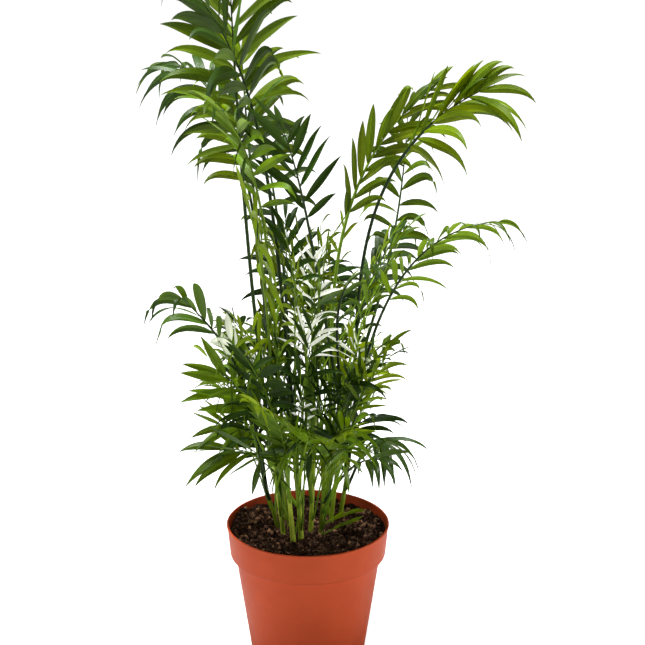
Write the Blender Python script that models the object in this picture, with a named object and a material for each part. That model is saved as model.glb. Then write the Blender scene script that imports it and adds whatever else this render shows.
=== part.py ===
"""Parlour palm in its nursery pot.

Metres, +Z up, the pot standing on z = 0 with its axis on the world Z axis.
+X is the plant's right and +Y its back.  Slim canes rise from the soil, and
each cane carries a few fronds: a long bare petiole that goes on as the rib,
with narrow leaflets on both sides.
"""
import math
from collections import namedtuple

import bmesh
import bpy
import numpy as np
from mathutils import Vector
from mathutils.bvhtree import BVHTree

MM = 0.001
GAP = 0.3 * MM                  # air between neighbouring bodies

# --- pot: a 17 cm injection-moulded nursery pot
POT_HEIGHT = 150 * MM
POT_SEGMENTS = 40
LIP_RADIUS = 85 * MM
LIP_HEIGHT = 11 * MM            # the band flares out to the lip over this height
LIP_PROUD = 1.4 * MM            # how far the lip stands out of the band
LIP_ROUND = 1.0 * MM
BAND_TOP_RADIUS = LIP_RADIUS - LIP_PROUD
BAND_FOOT_RADIUS = 81.3 * MM
BAND_FOOT_Z = 116.5 * MM
SHOULDER_RADIUS = 76.0 * MM
SHOULDER_Z = 115.5 * MM
FOOT_RADIUS = 58.9 * MM
FOOT_ROUND = 2.0 * MM
WALL = 1.9 * MM
FLOOR = 3.0 * MM

# --- soil
SOIL_Z = 137 * MM               # level ground between the canes
SOIL_SEGMENTS = 32
SOIL_FLAT_RADIUS = 60 * MM
SOIL_MOUND = 6.2 * MM           # low heaps between the canes and the wall

# --- canes
CANE_SIDES = 6
CANE_TAPER = 0.72               # radius at the tip over radius at the foot
CANE_RINGS = (0.0, 0.16, 0.55, 1.0)
CANE_FLARE = (1.14, 1.0, 1.0, 1.0)

# --- fronds
PETIOLE_RADIUS = 1.7 * MM
RIB_TIP_RADIUS = 0.7 * MM
RIB_CORNERS = ((0.9, 0.45), (-0.9, 0.45), (0.0, -1.0))  # left, upward
SEAT = 0.35 * MM                # air under a petiole's foot
PETIOLE_RINGS = 6
LEAF_THICK = 1.1 * MM
LEAF_SLIM = 0.145               # widest part of a blade over its length
LEAF_MIN_WIDTH = 6.5 * MM
LEAF_MAX_WIDTH = 13 * MM
LONG_LEAF = 58 * MM             # blades longer than this get a second bend
LEAF_LAST_ANGLE = 16.0          # degrees from the rib at the forked end
LEAF_LIFT = 14.0                # shallow V of the two rows
LEAF_PITCH = 24.0               # each blade is tilted like a louvre
LEAF_CLEAR = 0.8 * MM           # swelling of a blade while it is tested
DROOP_DICE = (0.6, 1.5)         # some blades hang much more than their fellows
DROOP_UPRIGHT = 0.3             # share of the droop left in an upright blade
SHORTER = (1.0, 0.86, 0.72, 0.58)
SEED = 41

Cane = namedtuple("Cane", "name x y height lean heading radius")
Frond = namedtuple(
    "Frond",
    "name cane at heading swing lean arch bend length bare roll pairs leaf droop "
    "spread",
)

CANES = {
    cane.name: cane
    for cane in (
        #    name, x, y, height, lean, heading, foot radius: mm and degrees
        Cane("a", -32, 14, 80, 14, 185, 2),
        Cane("b", -25, -11, 105, 7, 185, 2.4),
        Cane("c", -19, 9, 120, 7, 180, 2.1),
        Cane("d", -15, -21, 100, 5, 200, 2.7),
        Cane("e", -7, -16, 120, 3, 210, 2.6),
        Cane("f", -8, 19, 135, 5, 165, 2.3),
        Cane("g", 3, -1, 130, 2, 0, 2.4),
        Cane("h", 13, -11, 95, 5, 310, 2),
        Cane("i", 15, 14, 125, 4, 10, 2.2),
        Cane("j", 24, 24, 120, 6, 350, 2.3),
        Cane("k", 34, 39, 110, 8, 5, 2.3),
        Cane("l", 4, 32, 125, 3, 80, 2),
        Cane("m", 19, 45, 115, 9, 40, 2.2),
        Cane("n", -23, 32, 115, 8, 140, 2),
    )
}

LEAF_GREEN = (0.055, 0.135, 0.022)
PALE_GREEN = (0.62, 0.66, 0.42)

# name, cane, place on the cane; heading, swing, lean, arch (degrees), bend;
# length (mm), bare share; roll (degrees), pairs, leaflet (mm), droop, spread
FRONDS = [
    Frond("left_tall_1", "b", 1, 122, -7, 15, -10, 0.8,
          491, 0.62, 10, 12, 96, 0.55, 82),
    Frond("left_tall_3", "e", 1, 195, 9, 5, 39, 4,
          484, 0.62, 50, 12, 92, 0.6, 74),
    Frond("left_tall_2", "c", 1, 120, -25, 6, 32, 1.1,
          401, 0.62, -19, 9, 92, 0.53, 74),
    Frond("right_tall_1", "k", 1, 281, 64, 0, 62, 1.9,
          420, 0.75, -57, 9, 100, 0.52, 50),
    Frond("right_tall_2", "i", 1, 350, 30, 0, 61, 2.5,
          375, 0.56, -80, 11, 74, 0.5, 40),
    Frond("right_back_1", "m", 1, 35, 36, 28, -22, 1.8,
          331, 0.55, 0, 9, 68, 0.9, 66),
    Frond("left_back_1", "n", 1, 129, 9, 7, 91, 4,
          424, 0.66, 20, 10, 78, 0.85, 66),
    Frond("left_front_1", "d", 1, 221, 22, 5, 66, 4,
          430, 0.62, 20, 9, 74, 0.8, 66),
    Frond("right_arch_1", "k", 0.6, 276, 57, 22, 60, 3.2,
          403, 0.56, 30, 12, 60, 0.9, 56),
    Frond("middle_fan", "j", 1, 235, 17, 16, 29, 3.4,
          380, 0.64, -3, 7, 70, 0.17, 46),
    Frond("left_low_1", "a", 1, 259, -45, 8, 37, 0.7,
          244, 0.7, -38, 5, 76, 1, 41),
    Frond("right_arch_2", "m", 0.8, 52, 11, 14, 97, 2.4,
          276, 0.5, -31, 9, 64, 0.73, 46),
    Frond("left_back_2", "f", 1, 124, -24, 0, 65, 2,
          317, 0.62, 0, 6, 68, 0.7, 70),
    Frond("left_low_2", "a", 0.61, 263, -56, 17, 32, 2.7,
          169, 0.57, -86, 5, 66, 0.15, 60),
    Frond("left_low_3", "a", 0.43, 244, 36, 23, 87, 2.8,
          115, 0.74, 6, 5, 83, 0.31, 75),
    Frond("right_low_2", "j", 0.52, 430, 28, 18, 63, 2.8,
          155, 0.62, 24, 5, 54, 1, 69),
    Frond("right_low_1", "k", 0.3, 344, -50, 19, 90, 3,
          100, 0.7, 10, 5, 68, 0.9, 44),
    Frond("middle_left", "b", 0.8, 267, -17, 0, 33, 1,
          335, 0.6, 61, 7, 66, 0.68, 80),
    Frond("back_1", "l", 1, 83, 1, 28, 66, 1.6,
          203, 0.45, -15, 8, 66, 0.7, 78),
    Frond("back_2", "f", 0.8, 84, 19, 49, -14, 1.6,
          253, 0.5, 20, 8, 66, 0.6, 76),
    Frond("back_3", "m", 0.62, 76, -7, 9, 68, 1,
          219, 0.48, 30, 8, 62, 0.7, 78),
    Frond("front_1", "g", 0.28, 253, 45, 8, 108, 2.6,
          117, 0.64, -22, 4, 59, 0.9, 55),
    Frond("front_2", "h", 0.31, 313, -58, 25, 116, 3,
          175, 0.66, -22, 5, 46, 0.75, 51),
    Frond("front_3", "b", 0.5, 265, -7, 22, 50, 1.6,
          204, 0.5, 25, 6, 46, 1, 62),
    Frond("back_4", "n", 0.8, 107, 11, 38, 27, 0.8,
          157, 0.42, -25, 7, 60, 0.6, 82),
    Frond("pale_1", "e", 0.55, 305, -54, 12, 2, 3.2,
          185, 0.82, 13, 4, 44, 0.7, 62),
    Frond("pale_2", "h", 1, 345, 46, 16, 0, 3.1,
          127, 0.8, -36, 5, 44, 0.8, 83),
    Frond("pale_3", "g", 0.85, 262, 6, 6, 5, 1.6,
          215, 0.42, 20, 6, 42, 1, 70),
    Frond("pale_4", "e", 0.31, 157, -63, 34, 14, 0.9,
          199, 0.86, -45, 3, 40, 0.8, 84),
    Frond("middle_low", "g", 1, 235, 5, 12, 8, 2.2,
          233, 0.6, 10, 6, 50, 0.6, 74),
    Frond("right_front_1", "k", 0.5, 239, 60, 3, 67, 1.2,
          359, 0.55, -20, 7, 44, 0.8, 74),
    Frond("right_front_2", "i", 0.58, 414, -12, 24, 38, 1.1,
          152, 0.7, 20, 5, 49, 0.71, 80),
    Frond("left_low_4", "d", 0.75, 242, 0, 5, 40, 0.8,
          182, 0.5, 10, 6, 54, 0.5, 66),
    Frond("right_low_3", "m", 0.5, 16, 75, 18, 110, 2.6,
          83, 0.55, 47, 6, 60, 0.69, 50),
    Frond("front_low_1", "h", 0.6, 269, 26, 29, 33, 1.5,
          132, 0.5, -12, 5, 56, 0.8, 62),
    Frond("front_low_2", "e", 0.5, 276, 1, 41, 12, 1.6,
          136, 0.5, 15, 5, 48, 0.8, 62),
    Frond("front_low_3", "d", 0.5, 268, -13, 18, 34, 1.4,
          141, 0.5, 10, 6, 52, 0.7, 62),
    Frond("back_5", "l", 0.7, 83, -4, 54, 22, 1.4,
          135, 0.42, 15, 6, 56, 0.6, 85),
    Frond("left_low_5", "n", 0.45, 208, -21, 2, 90, 1.1,
          98, 0.55, 40, 6, 52, 0.4, 56),
    Frond("right_low_4", "k", 0.47, 183, -103, 19, 90, 1.3,
          101, 0.55, -71, 6, 62, 0.51, 50),
    Frond("right_low_5", "h", 0.44, 321, -5, 31, 52, 2.1,
          106, 0.55, -20, 5, 56, 0.6, 60),
    Frond("front_low_4", "g", 0.45, 259, 18, 10, 110, 1.5,
          155, 0.5, 0, 5, 52, 0.8, 60),
    Frond("back_6", "m", 0.3, 72, -17, 34, 64, 0.8,
          122, 0.42, 0, 6, 60, 0.6, 92),
    Frond("back_7", "n", 0.25, 103, 18, 45, 50, 0.9,
          119, 0.42, 0, 6, 60, 0.6, 92),
]


def clear_scene():
    """Start from an empty file."""
    for old in list(bpy.data.objects):
        bpy.data.objects.remove(old, do_unlink=True)


def plain_material(name, colour, roughness):
    """One Principled surface."""
    material = bpy.data.materials.new(name)
    material.use_nodes = True
    surface = material.node_tree.nodes["Principled BSDF"]
    surface.inputs["Base Color"].default_value = (*colour, 1.0)
    surface.inputs["Roughness"].default_value = roughness
    return material


def finish_object(bm, name, material, smooth):
    """Close a bmesh into a named object with outward faces."""
    bmesh.ops.recalc_face_normals(bm, faces=bm.faces)
    mesh = bpy.data.meshes.new(name)
    bm.to_mesh(mesh)
    bm.free()
    mesh.materials.append(material)
    for polygon in mesh.polygons:
        polygon.use_smooth = smooth
    thing = bpy.data.objects.new(name, mesh)
    bpy.context.scene.collection.objects.link(thing)
    return thing


def turned(profile, segments):
    """Spin a closed half section of (radius, z) about the Z axis."""
    bm = bmesh.new()
    verts = [bm.verts.new((r, 0.0, z)) for r, z in profile]
    edges = [bm.edges.new(pair) for pair in zip(verts, verts[1:])]
    bmesh.ops.spin(
        bm,
        geom=verts + edges,
        cent=(0, 0, 0),
        axis=(0, 0, 1),
        angle=math.tau,
        steps=segments,
        use_merge=True,
    )
    bmesh.ops.remove_doubles(bm, verts=bm.verts, dist=0.01 * MM)
    return bm


def wall_radius(z):
    """Outer radius of the pot's wall below the lip, at height z."""
    if z >= BAND_FOOT_Z:
        share = (z - BAND_FOOT_Z) / (POT_HEIGHT - LIP_HEIGHT - BAND_FOOT_Z)
        return BAND_FOOT_RADIUS + (BAND_TOP_RADIUS - BAND_FOOT_RADIUS) * share
    if z >= SHOULDER_Z:
        share = (z - SHOULDER_Z) / (BAND_FOOT_Z - SHOULDER_Z)
        return SHOULDER_RADIUS + (BAND_FOOT_RADIUS - SHOULDER_RADIUS) * share
    return FOOT_RADIUS + (SHOULDER_RADIUS - FOOT_RADIUS) * z / SHOULDER_Z


def build_pot():
    """Tapered bucket, a deep band on a narrow ledge with a thin lip, flat underside."""
    lip_foot = POT_HEIGHT - LIP_HEIGHT
    profile = [
        (0.0, 0.0),
        (FOOT_RADIUS - FOOT_ROUND, 0.0),
        (wall_radius(FOOT_ROUND), FOOT_ROUND),
        (SHOULDER_RADIUS, SHOULDER_Z),
        (BAND_FOOT_RADIUS, BAND_FOOT_Z),
        (BAND_TOP_RADIUS, lip_foot),
        (BAND_TOP_RADIUS + LIP_PROUD * 0.6, lip_foot + LIP_HEIGHT * 0.6),
        (LIP_RADIUS, POT_HEIGHT - LIP_ROUND),
        (LIP_RADIUS - LIP_ROUND, POT_HEIGHT),
        (LIP_RADIUS - WALL - LIP_ROUND * 0.5, POT_HEIGHT),
        (BAND_TOP_RADIUS + LIP_PROUD * 0.5 - WALL, lip_foot + LIP_HEIGHT * 0.6),
        (BAND_TOP_RADIUS - WALL, lip_foot),
        (BAND_FOOT_RADIUS - WALL, BAND_FOOT_Z + WALL),
        (SHOULDER_RADIUS - WALL, SHOULDER_Z + WALL),
        (wall_radius(FLOOR) - WALL, FLOOR),
        (0.0, FLOOR),
    ]
    material = plain_material("terracotta plastic", (0.46, 0.10, 0.045), 0.42)
    bm = turned(profile, POT_SEGMENTS)
    return finish_object(bm, "pot", material, True)


def build_soil():
    """Peat that fills the pot to a finger's width below its lip."""
    fit = WALL + GAP
    profile = [
        (0.0, FLOOR + GAP),
        (wall_radius(FLOOR + GAP) - fit, FLOOR + GAP),
        (SHOULDER_RADIUS - fit, SHOULDER_Z + fit),
        (BAND_FOOT_RADIUS - fit, BAND_FOOT_Z + fit),
        (wall_radius(SOIL_Z) - fit, SOIL_Z),
        (SOIL_FLAT_RADIUS + 10 * MM, SOIL_Z + 0.4 * MM),
        (SOIL_FLAT_RADIUS, SOIL_Z),
        (SOIL_FLAT_RADIUS * 0.5, SOIL_Z),
        (0.0, SOIL_Z),
    ]
    bm = turned(profile, SOIL_SEGMENTS)
    for vert in bm.verts:
        radius = math.hypot(vert.co.x, vert.co.y)
        if vert.co.z > SOIL_Z + 0.2 * MM and radius > SOIL_FLAT_RADIUS:
            around = math.atan2(vert.co.y, vert.co.x)
            wave = math.sin(3 * around + 1.0) + math.sin(7 * around)
            vert.co.z += SOIL_MOUND * (0.5 + 0.25 * wave)
    material = plain_material("moist peat", (0.035, 0.018, 0.011), 0.95)
    return finish_object(bm, "soil", material, True)


def lean_direction(lean, heading):
    """Unit vector leaning by so many degrees towards a heading."""
    a, b = math.radians(heading), math.radians(lean)
    return np.array([math.sin(b) * math.cos(a), math.sin(b) * math.sin(a), math.cos(b)])


def cane_point(cane, share):
    """Point on a cane's centre line and the cane's radius there."""
    foot = np.array([cane.x * MM, cane.y * MM, SOIL_Z + GAP])
    along = lean_direction(cane.lean, cane.heading) * cane.height * MM
    radius = cane.radius * MM * (1.0 + (CANE_TAPER - 1.0) * share)
    return foot + along * share, radius


def skin(bm, rings):
    """Close a row of equal rings of vertices into a tube with end caps."""
    sides = len(rings[0])
    for low, high in zip(rings, rings[1:]):
        for k in range(sides):
            after = (k + 1) % sides
            bm.faces.new((low[k], low[after], high[after], high[k]))
    bm.faces.new(rings[0])
    bm.faces.new(rings[-1])


def build_cane(cane, material):
    """Tapered cane, a little stouter where it leaves the ground."""
    bm = bmesh.new()
    rings = []
    for share, flare in zip(CANE_RINGS, CANE_FLARE):
        centre, radius = cane_point(cane, share)
        ring = []
        for k in range(CANE_SIDES):
            turn = math.tau * k / CANE_SIDES
            offset = Vector((math.cos(turn), math.sin(turn), 0.0)) * radius * flare
            ring.append(bm.verts.new(Vector(centre) + offset))
        rings.append(ring)
    skin(bm, rings)
    return finish_object(bm, "cane_" + cane.name, material, True)


def upper_side(frond, lean, turn):
    """Upper-side normal and left side of a blade rolled about its rib."""
    flat = np.zeros_like(lean)
    tangent = np.stack(
        [np.sin(lean) * np.cos(turn), np.sin(lean) * np.sin(turn), np.cos(lean)], -1
    )
    upper = np.stack(
        [-np.cos(lean) * np.cos(turn), -np.cos(lean) * np.sin(turn), np.sin(lean)], -1
    )
    side = np.stack([-np.sin(turn), np.cos(turn), flat], -1)
    roll = math.radians(frond.roll)
    normal = math.cos(roll) * upper + math.sin(roll) * side
    left = np.cross(normal, tangent)
    return tangent, normal, left


def frond_foot(frond):
    """Where a petiole starts: on its cane's tip, or beside the cane."""
    cane = CANES[frond.cane]
    point, radius = cane_point(cane, frond.at)
    if frond.at == 1.0:
        tilted = PETIOLE_RADIUS * math.sin(math.radians(frond.lean))
        return point + np.array([0.0, 0.0, SEAT + tilted])
    around = math.radians(frond.heading)
    outward = np.array([math.cos(around), math.sin(around), 0.0])
    flats = np.cos(around - math.tau * np.arange(CANE_SIDES) / CANE_SIDES)
    lean = np.array(math.radians(frond.lean))
    tangent, normal, left = upper_side(frond, lean, np.array(around))
    inward = [-(x * left + y * normal) @ outward for x, y in RIB_CORNERS]
    reach = radius * flats.max() + PETIOLE_RADIUS * max(inward) + SEAT
    return point + outward * reach


def frond_frames(frond, shares):
    """Centre, tangent, upper-side normal and left side at shares of a frond.

    The lean from the vertical is lean + arch * share ** bend and the heading
    is heading + swing * share, both integrated along the frond.  The blade's
    plane is then rolled about the rib.
    """
    count = 160
    middle = (np.arange(count) + 0.5) / count
    lean = np.radians(frond.lean + frond.arch * middle ** frond.bend)
    turn = np.radians(frond.heading + frond.swing * middle)
    steps = np.stack(
        [np.sin(lean) * np.cos(turn), np.sin(lean) * np.sin(turn), np.cos(lean)], 1
    )
    steps *= frond.length * MM / count
    path = np.vstack([np.zeros(3), np.cumsum(steps, 0)]) + frond_foot(frond)
    knots = np.linspace(0.0, 1.0, count + 1)
    shares = np.asarray(shares)
    centre = np.stack([np.interp(shares, knots, path[:, k]) for k in range(3)], 1)
    lean = np.radians(frond.lean + frond.arch * shares ** frond.bend)
    turn = np.radians(frond.heading + frond.swing * shares)
    return (centre, *upper_side(frond, lean, turn))


def rib_radius(share):
    """The petiole tapers to a thread at the frond's end."""
    return PETIOLE_RADIUS + (RIB_TIP_RADIUS - PETIOLE_RADIUS) * share


def rib_shares(frond):
    """Stations of the rib: petiole first, then two steps for each pair."""
    petiole = np.linspace(0.0, frond.bare, PETIOLE_RINGS)
    leafy = np.linspace(frond.bare, 1.0, 2 * frond.pairs + 1)
    return np.concatenate([petiole, leafy[1:]])


def rib_rings(frond):
    """Three-cornered rings: left top, right top and keel."""
    shares = rib_shares(frond)
    centre, tangent, normal, left = frond_frames(frond, shares)
    radius = rib_radius(shares)[:, None]
    corners = [centre + radius * (x * left + y * normal) for x, y in RIB_CORNERS]
    return np.stack(corners, 1)


def leaf_plan(frond):
    """One row per leaflet: side, size and bend, varied by a seeded rule."""
    dice = np.random.default_rng([SEED, *frond.name.encode()])
    plan = []
    for k in range(2 * frond.pairs):
        place = (k + 0.5) / (2 * frond.pairs)
        shape = 0.72 + 0.28 * math.sin(math.pi / 2 * min(place / 0.45, 1.0))
        shape *= 1.0 - 0.38 * max(0.0, (place - 0.5) / 0.5) ** 1.6
        angle = frond.spread + (LEAF_LAST_ANGLE - frond.spread) * place ** 1.25
        plan.append(
            dict(
                ring=PETIOLE_RINGS - 1 + k,
                place=place,
                side=1 if k % 2 == 0 else -1,
                length=frond.leaf * MM * shape * dice.uniform(0.93, 1.07),
                angle=math.radians(angle + dice.uniform(-5.0, 5.0)),
                droop=frond.droop * dice.uniform(*DROOP_DICE),
            )
        )
    return plan


def blade_rings(leaf, root, tangent, normal, left, scale, swell):
    """Rings of four points along one leaflet, and its tip.

    A blade leaves the rib at its angle, lifted out of the frond's plane, and
    its own weight bends it down in proportion to the square of the distance.
    A blade that stands upright bends least.
    """
    length = leaf["length"] * scale
    lift = math.radians(LEAF_LIFT)
    pitch = math.radians(LEAF_PITCH)
    outward = leaf["side"] * left
    away = math.cos(lift) * outward + math.sin(lift) * normal
    up = math.cos(lift) * normal - math.sin(lift) * outward
    heading = math.cos(leaf["angle"]) * tangent + math.sin(leaf["angle"]) * away
    across = math.sin(leaf["angle"]) * tangent - math.cos(leaf["angle"]) * away
    across = math.cos(pitch) * across + math.sin(pitch) * up
    down = np.array([0.0, 0.0, -1.0])
    level = math.hypot(heading[0], heading[1])
    droop = leaf["droop"] * (DROOP_UPRIGHT + (1.0 - DROOP_UPRIGHT) * level)

    def point(t):
        bent = droop * t
        reach = t * (1.0 - 0.16 * bent)
        return root + length * (heading * reach + down * 0.5 * bent * t)

    width = min(max(length * LEAF_SLIM, LEAF_MIN_WIDTH), LEAF_MAX_WIDTH)
    if length > LONG_LEAF:
        stations = ((0.27, 0.97), (0.62, 0.84))
    else:
        stations = ((0.38, 1.0),)
    rings = []
    for t, share in stations:
        along = point(t + 0.05) - point(t - 0.05)
        along /= np.linalg.norm(along)
        wide = across - along * float(across @ along)
        wide /= np.linalg.norm(wide)
        thick = np.cross(along, wide)
        if thick @ normal < 0.0:
            thick = -thick
        half = 0.5 * (width * share + swell)
        depth = 0.5 * (LEAF_THICK + swell)
        middle = point(t)
        rings.append(
            [
                middle - wide * half + thick * depth,
                middle + wide * half + thick * depth,
                middle + wide * half - thick * depth,
                middle - wide * half - thick * depth,
            ]
        )
    return rings, point(1.0 + swell / length)


def blade_surface(rings, tip):
    """Points and faces of a blade that starts at its first ring of four."""
    points = [p for ring in rings for p in ring] + [tip]
    faces = [(0, 1, 2, 3)]
    for low in range(0, 4 * len(rings), 4):
        for k in range(4):
            after = (k + 1) % 4
            if low + 4 < len(points) - 1:
                faces.append((low + k, low + after, low + 4 + after))
                faces.append((low + k, low + 4 + after, low + 4 + k))
            else:
                faces.append((low + k, low + after, len(points) - 1))
    return points, faces


def tree_of(surfaces):
    """One search tree over many (points, faces) surfaces."""
    points = []
    faces = []
    for some_points, some_faces in surfaces:
        start = len(points)
        points.extend(tuple(p) for p in some_points)
        faces.extend(tuple(i + start for i in face) for face in some_faces)
    return BVHTree.FromPolygons(points, faces)


def object_surface(thing):
    """Points and faces of an object that stands unturned at the origin."""
    points = [tuple(v.co) for v in thing.data.vertices]
    faces = [tuple(p.vertices) for p in thing.data.polygons]
    return points, faces


def rib_surface(frond):
    """Points and faces of a frond's rib alone."""
    rings = rib_rings(frond)
    points = [tuple(p) for ring in rings for p in ring]
    faces = [(0, 1, 2)]
    for k in range(len(rings) - 1):
        for a in range(3):
            b = (a + 1) % 3
            faces.append((3 * k + a, 3 * k + b, 3 * k + 3 + b, 3 * k + 3 + a))
    faces.append(tuple(len(points) - 3 + a for a in range(3)))
    return points, faces


def choose_leaves(frond, others, outer_leaves):
    """Keep each leaflet at the first length that clears all other bodies.

    A whole blade, from the rib on, is tested against other bodies, and the
    free part of it against the leaflets this frond already has.
    """
    shares = rib_shares(frond)
    centre, tangent, normal, left = frond_frames(frond, shares)
    corners = rib_rings(frond)
    own = []
    chosen = []
    for leaf in leaf_plan(frond):
        k = leaf["ring"]
        root = 0.5 * (centre[k] + centre[k + 1])
        frame = (root, tangent[k], normal[k], left[k])
        top = 0 if leaf["side"] == 1 else 1
        socket = [corners[k][top], corners[k + 1][top], corners[k + 1][2], corners[k][2]]
        for scale in SHORTER:
            rings, tip = blade_rings(leaf, *frame, scale, LEAF_CLEAR)
            whole = tree_of([blade_surface([socket] + rings, tip)])
            if any(whole.overlap(tree) for tree in others):
                continue
            free = tree_of([blade_surface(rings, tip)])
            if own and free.overlap(tree_of(own)):
                continue
            rings, tip = blade_rings(leaf, *frame, scale, 0.0)
            own.append(blade_surface(rings, tip))
            outer_leaves.append(blade_surface([socket] + rings, tip))
            chosen.append((leaf, rings, tip))
            break
    return chosen


def build_frond(frond, chosen, material):
    """Rib with every chosen leaflet grown out of its side faces."""
    bm = bmesh.new()
    rings = [[bm.verts.new(p) for p in ring] for ring in rib_rings(frond)]
    roots = {}
    for leaf, blade, tip in chosen:
        roots[leaf["ring"]] = (leaf["side"], blade, tip)
    for k in range(len(rings) - 1):
        low, high = rings[k], rings[k + 1]
        bm.faces.new((low[0], low[1], high[1], high[0]))
        side = roots[k][0] if k in roots else 0
        for which, top in ((1, 0), (-1, 1)):
            socket = (low[top], high[top], high[2], low[2])
            if side != which:
                bm.faces.new(socket)
                continue
            before = socket
            for points in roots[k][1]:
                ring = tuple(bm.verts.new(p) for p in points)
                for a in range(4):
                    b = (a + 1) % 4
                    bm.faces.new((before[a], before[b], ring[b]))
                    bm.faces.new((before[a], ring[b], ring[a]))
                before = ring
            tip = bm.verts.new(roots[k][2])
            for a in range(4):
                bm.faces.new((before[a], before[(a + 1) % 4], tip))
    bm.faces.new(rings[0])
    bm.faces.new(rings[-1])
    return finish_object(bm, "frond_" + frond.name, material, False)


def build_plant():
    """Pot, soil and canes, then every rib, then leaflets frond by frond."""
    clear_scene()
    solid = [build_pot(), build_soil()]
    for cane in CANES.values():
        material = plain_material("cane " + cane.name, (0.10, 0.19, 0.035), 0.5)
        solid.append(build_cane(cane, material))
    fixed = tree_of([object_surface(thing) for thing in solid])
    ribs = {frond.name: rib_surface(frond) for frond in FRONDS}
    leaves = {frond.name: [] for frond in FRONDS}
    for frond in FRONDS:
        around = [rib for name, rib in ribs.items() if name != frond.name]
        for name, own in leaves.items():
            if name != frond.name:
                around.extend(own)
        others = [fixed, tree_of(around)]
        chosen = choose_leaves(frond, others, leaves[frond.name])
        colour = PALE_GREEN if frond.name.startswith("pale") else LEAF_GREEN
        material = plain_material("frond " + frond.name, colour, 0.35)
        build_frond(frond, chosen, material)


build_plant()
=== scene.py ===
# %% [markdown]
# # A parlour palm in its nursery pot
#
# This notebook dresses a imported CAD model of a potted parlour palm.  The model
# gives the pot, the soil, the canes and one plain solid for each frond.  The
# cells below put a finer piece in the place of each of them: a moulded pot
# with a thin flared lip, crumbly peat, canes with sheath rings, ribs, and over
# a thousand leaflets, each a small curved sheet in its own outline.
#
# Everything is in metres, +Z up, with the pot standing on z = 0 and its axis on
# the world's Z axis.  Shapes are worked out with numpy as whole arrays and then
# handed to Blender, which is much faster than adding one vertex at a time.

import math
from collections import namedtuple

import bpy
import numpy as np
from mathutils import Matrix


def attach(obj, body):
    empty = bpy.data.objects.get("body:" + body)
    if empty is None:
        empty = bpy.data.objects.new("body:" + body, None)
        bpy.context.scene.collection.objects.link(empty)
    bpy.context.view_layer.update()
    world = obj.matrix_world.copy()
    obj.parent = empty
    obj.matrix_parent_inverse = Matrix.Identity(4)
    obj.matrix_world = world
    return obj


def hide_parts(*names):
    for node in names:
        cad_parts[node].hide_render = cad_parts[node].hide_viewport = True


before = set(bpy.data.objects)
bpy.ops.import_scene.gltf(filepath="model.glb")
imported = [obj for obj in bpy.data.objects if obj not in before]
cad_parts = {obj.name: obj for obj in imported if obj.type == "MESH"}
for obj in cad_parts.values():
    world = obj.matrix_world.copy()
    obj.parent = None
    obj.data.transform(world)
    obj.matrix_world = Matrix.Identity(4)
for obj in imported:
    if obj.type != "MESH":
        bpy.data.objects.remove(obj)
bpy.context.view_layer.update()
MM = 0.001

# %% [markdown]
# ## The camera
#
# A camera could be placed by eye, but a plant hides every straight edge.  The
# pot is the one part with a known shape, so the tilt, distance and lens here
# come from how round its lip looks: a camera two metres away, a metre up, that
# looks down by nineteen degrees through a long lens.

# %% Camera
LENS, SENSOR = 116.4, 36.0
CAMERA_PLACE, CAMERA_DIP = (0.0153, -2.0, 1.0549), 18.88

camera_data = bpy.data.cameras.new("studio camera")
camera_data.lens = LENS
camera_data.sensor_width = SENSOR
camera = bpy.data.objects.new("studio camera", camera_data)
camera.location = CAMERA_PLACE
camera.rotation_euler = (math.radians(90.0 - CAMERA_DIP), 0.0, 0.0)
bpy.context.scene.collection.objects.link(camera)
bpy.context.scene.camera = camera
print("camera at", CAMERA_PLACE)

# %% [markdown]
# ## From arrays to a mesh
#
# Blender can build a mesh face by face, but foreach_set takes a whole array at
# once.  A grid of rows and columns is the base of nearly every piece here: a
# tube is a grid whose columns join up, and a leaflet is a grid that doesn't.

# %% Mesh helpers
def grid_quads(rows, columns, joined=False):
    """Corner numbers of the quads between neighbouring rows and columns.

    Point (i, j) has number i * columns + j.  With joined, the last column is
    followed by the first, which closes a tube.
    """
    i, j = np.meshgrid(np.arange(rows - 1), np.arange(columns - (not joined)), indexing="ij")
    a = i * columns + j
    b = i * columns + (j + 1) % columns
    return np.stack([a, b, b + columns, a + columns], -1).reshape(-1, 4)


def unit(vectors):
    """The same vectors, each brought to length one."""
    return vectors / np.linalg.norm(vectors, axis=-1, keepdims=True)


def even_turns(count):
    """So many angles, evenly round a full turn."""
    return np.arange(count) * math.tau / count


def circle(turn):
    """Cosine and sine of each angle, side by side."""
    return np.stack([np.cos(turn), np.sin(turn)], -1)


def fan(middle, first, count, back=False):
    """Triangles from a middle point to a ring whose points start at first."""
    here = first + np.arange(count)
    after = np.roll(here, -1)
    return np.stack([np.full(count, middle), *((after, here) if back else (here, after))], -1)


def many(faces, count, points_each):
    """The same faces for count copies whose points follow one another."""
    shift = np.arange(count)[:, None, None] * points_each
    return (faces[None] + shift).reshape(-1, faces.shape[1])


NO_TRIANGLES = np.zeros((0, 3), int)


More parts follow.
